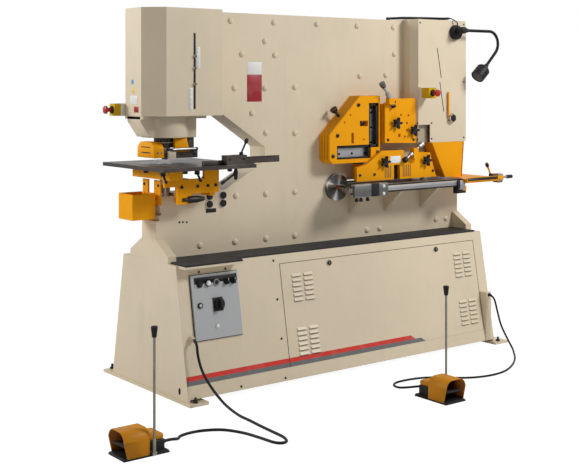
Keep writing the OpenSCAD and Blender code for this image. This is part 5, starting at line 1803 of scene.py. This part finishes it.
class IRONWORKER_OT_lamp_cord(bpy.types.Operator):
    """Winds the lamp's curly cord along the top, from the magnet foot to its gland"""

    bl_idname = "ironworker.lamp_cord"
    bl_label = "Lamp cord"

    def execute(self, context):
        turns = context.scene.ironworker_trim.curls
        gland = turned("lamp_cord_gland", (*GLAND, 1346), (0, 0, 1), [
            (13, 0), (13, 12), (11, 16), (6, 18),
        ], sides=24)
        fit(gland, BODY, "black_moulding_and_shade")
        route = [BODY @ Vector(point) for point in LAMP_CORD]
        spine = smooth_route(route, steps=24)
        free_cord("lamp_curly_cord", self.helix(spine, turns), 0.0034, "lamp_cord", steps=1)
        return {"FINISHED"}

    def helix(self, spine, turns):
        """The wire's own points: straight up from the foot, then in even turns round the spine"""
        reach, start, corners = 0.0052, 0.12, 12
        length = sum((b - a).length for a, b in zip(spine, spine[1:]))
        wire, run = [spine[0]], 0.0
        for k in range(1, len(spine)):
            step = spine[k] - spine[k - 1]
            run += step.length
            share = run / length
            if share < start:
                wire.append(spine[k])
                continue
            side = step.normalized().cross(Vector((0, 0, 1))).normalized()
            rise = side.cross(step.normalized())
            pieces = max(1, round(step.length / (length * (1 - start)) * turns * corners))
            for part in range(pieces):
                done = (run - step.length * (1 - (part + 1) / pieces)) / length
                turn = math.tau * turns * (done - start) / (1 - start)
                wide = reach * min(1, (done - start) * 25, (1 - done) * 40 + 0.05)
                place = spine[k - 1].lerp(spine[k], (part + 1) / pieces)
                wire.append(place + wide * (side * math.cos(turn) + rise * math.sin(turn)))
        return wire


# ---------------------------------------------------------------- pedals


def hood_outline(inset):
    """The arched cross-section of a pedal's hood, drawn in Y and Z and narrowed by an inset"""
    half, top, bow = 72.5 - inset, 124 - inset, 46 - inset
    foot, steps = 8.6, 8
    points = [(-half, foot), (half, foot)]
    for side, first in ((1, 0), (-1, 90)):
        for k in range(steps + 1):
            turn = math.radians(first + 90 * k / steps)
            points.append((side * (half - bow) + bow * math.cos(turn), top - bow + bow * math.sin(turn)))
    return points


class IRONWORKER_OT_pedals(bpy.types.Operator):
    """Builds the two foot pedals: hood, switch body, tread, and carrying rod with its knob"""

    bl_idname = "ironworker.pedals"
    bl_label = "Pedals"

    def execute(self, context):
        for side, place in (("left", LEFT_PEDAL), ("right", RIGHT_PEDAL)):
            self.hood(side, place)
            self.switch(side, place)
            self.tread(side, place)
            self.rod(side, place)
        return {"FINISHED"}

    def hood(self, side, place):
        """The arched hood with its slanting mouth, a thin sheet inside it and its back wall, both painted
        darker as the shade inside the hood
        """
        shell = plate_across("shell", (0, 130), hood_outline(0), edge=1.2)
        cut(shell, plate_across("mouth", (-5, 140), hood_outline(4), edge=0))
        wedge = plate("wedge", [(-2, -2), (20, -2), (-2, 92)], (-90, 90), edge=0)
        cut(shell, wedge)
        fit(named_as(shell, f"pedal_hood_{side}"), place, "pedal_amber_painted_shade", stands_for=(f"pedal_{side}",))
        # A thin sheet inside the hood, painted darker as the shade within it
        shade_sheet = plate_across("shade_sheet", (3, 129), hood_outline(4), edge=0)
        cut(shade_sheet, plate_across("mouth", (-5, 140), hood_outline(4.8), edge=0))
        wedge = plate("wedge", [(0, -2), (23, -2), (0, 96)], (-90, 90), edge=0)
        cut(shade_sheet, wedge)
        fit(named_as(shade_sheet, f"pedal_shade_sheet_{side}"), place, "pedal_inside_painted_shade")
        # The back wall takes the same painted shade
        wall = plate_across("wall", (126, 129), hood_outline(4.5), edge=0)
        fit(named_as(wall, f"pedal_wall_{side}"), place, "pedal_inside_painted_shade")

    def switch(self, side, place):
        """The base plate, the switch body with its cap, and the cable's gland"""
        base = slab("base", (0, 232), (-72.5, 72.5), (0, 8.5), edge=2)
        lip = slab("lip", (2, 230), (-69, 69), (8, 13), edge=2)
        body = slab("body", (124, 216), (-58, 58), (8, 62), edge=6, segments=3)
        fit(join(f"pedal_base_{side}", base, lip, body), place, "black_moulding_and_shade")
        cap = slab("cap", (126, 214), (-57, 57), (60, 88), edge=13, segments=4)
        fit(named_as(cap, f"pedal_cap_{side}"), place, "pedal_amber_painted_shade")
        gland = turned("gland", (214, 0, 30), (1, 0, 0), [
            (15, 0), (15, 12), (12, 14), (12, 24), (9, 36),
        ], sides=24)
        fit(named_as(gland, f"pedal_gland_{side}"), place, "black_moulding_and_shade")

    def tread(self, side, place):
        """The ribbed tread, which leans on its axle"""
        axle_x, axle_z, pitch = 114, 44, 12
        tread = slab("tread", (-102, 0), (-54, 54), (-4, 4), edge=2)
        rib = slab("rib", (-98, -94), (-48, 48), (3.5, 6), edge=0.8)
        ribs = copies(rib, [(pitch * k, 0, 0) for k in range(8)])
        plank = join(f"pedal_tread_{side}", tread, ribs)
        tilt = Matrix.Rotation(math.radians(8), 4, "Y")
        plank.data.transform(Matrix.Translation((axle_x, 0, axle_z)) @ tilt)
        axle = turned("axle", (axle_x, -68, axle_z), (0, 1, 0), [(5, 0), (5, 136)], sides=16)
        node = f"treadle_{side}"
        fit(join(f"pedal_tread_{side}", plank, axle), place, "black_moulding_and_shade", body=node, stands_for=(node,))

    def rod(self, side, place):
        """The upright carrying rod beside the hood, with its nut and its knob"""
        x, y = 148, -78.5
        stem = turned("stem", (x, y, 6), (0, 0, 1), [(6, 0), (6, 524)], sides=20)
        clip = slab("clip", (136, 160), (-86, -58), (12, 20), edge=1.5)
        sleeve = turned("sleeve", (x, y, 10), (0, 0, 1), rounded(8, 66, 1.5), sides=20)
        fit(join(f"pedal_rod_{side}", stem, clip, sleeve), place, "rod_steel")
        nut = turned("nut", (x, y, 6), (0, 0, 1), rounded(10.5, 8, 1.5), sides=6)
        fit(named_as(nut, f"pedal_nut_{side}"), place, "ground_steel")
        knob = turned("knob", (x, y, 526), (0, 0, 1), [
            (8, 0), (10.5, 2), (13, 22), (15.6, 44), (15.6, 47), (13.5, 50.5), (5, 52),
        ], sides=28)
        fit(named_as(knob, f"pedal_knob_{side}"), place, "black_moulding_and_shade")


# ---------------------------------------------------------------- add-on


class IRONWORKER_PT_panel(bpy.types.Panel):
    """Lists the machine's pieces in the sidebar"""

    bl_idname = "IRONWORKER_PT_panel"
    bl_label = "Ironworker"
    bl_space_type = "VIEW_3D"
    bl_region_type = "UI"
    bl_category = "Ironworker"

    def draw(self, context):
        for step in STEPS:
            self.layout.operator(step.bl_idname)
        for settings in ("ironworker_stage", "ironworker_paint", "ironworker_trim"):
            group = getattr(context.scene, settings)
            for name in group.bl_rna.properties.keys():
                if name not in ("rna_type", "name"):
                    self.layout.prop(group, name)


SETTINGS = (StageSettings, PaintSettings, TrimSettings)
STEPS = (
    IRONWORKER_OT_finishes,
    IRONWORKER_OT_stage,
    IRONWORKER_OT_cords,
    IRONWORKER_OT_stripes,
    IRONWORKER_OT_cabinet_trim,
    IRONWORKER_OT_controls,
    IRONWORKER_OT_body_trim,
    IRONWORKER_OT_casing_trim,
    IRONWORKER_OT_punch_head,
    IRONWORKER_OT_punch_table,
    IRONWORKER_OT_under_table,
    IRONWORKER_OT_emergency_stops,
    IRONWORKER_OT_angle_guard,
    IRONWORKER_OT_bar_guards,
    IRONWORKER_OT_star_knobs,
    IRONWORKER_OT_pivot,
    IRONWORKER_OT_bench,
    IRONWORKER_OT_cover_trim,
    IRONWORKER_OT_notcher,
    IRONWORKER_OT_lamp,
    IRONWORKER_OT_lamp_cord,
    IRONWORKER_OT_pedals,
)


def register():
    for kind in (*SETTINGS, *STEPS, IRONWORKER_PT_panel):
        bpy.utils.register_class(kind)
    bpy.types.Scene.ironworker_stage = PointerProperty(type=StageSettings)
    bpy.types.Scene.ironworker_paint = PointerProperty(type=PaintSettings)
    bpy.types.Scene.ironworker_trim = PointerProperty(type=TrimSettings)


def unregister():
    del bpy.types.Scene.ironworker_stage
    del bpy.types.Scene.ironworker_paint
    del bpy.types.Scene.ironworker_trim
    for kind in reversed((*SETTINGS, *STEPS, IRONWORKER_PT_panel)):
        bpy.utils.unregister_class(kind)


def main():
    register()
    bpy.ops.ironworker.finishes()
    bpy.ops.ironworker.stage()
    bpy.ops.ironworker.cords()
    bpy.ops.ironworker.stripes()
    bpy.ops.ironworker.cabinet_trim()
    bpy.ops.ironworker.controls()
    bpy.ops.ironworker.body_trim()
    bpy.ops.ironworker.casing_trim()
    bpy.ops.ironworker.punch_head()
    bpy.ops.ironworker.punch_table()
    bpy.ops.ironworker.under_table()
    bpy.ops.ironworker.emergency_stops()
    bpy.ops.ironworker.angle_guard()
    bpy.ops.ironworker.bar_guards()
    bpy.ops.ironworker.star_knobs()
    bpy.ops.ironworker.pivot()
    bpy.ops.ironworker.bench()
    bpy.ops.ironworker.cover_trim()
    bpy.ops.ironworker.notcher()
    bpy.ops.ironworker.lamp()
    bpy.ops.ironworker.lamp_cord()
    bpy.ops.ironworker.pedals()


if __name__ == "__main__":
    main()
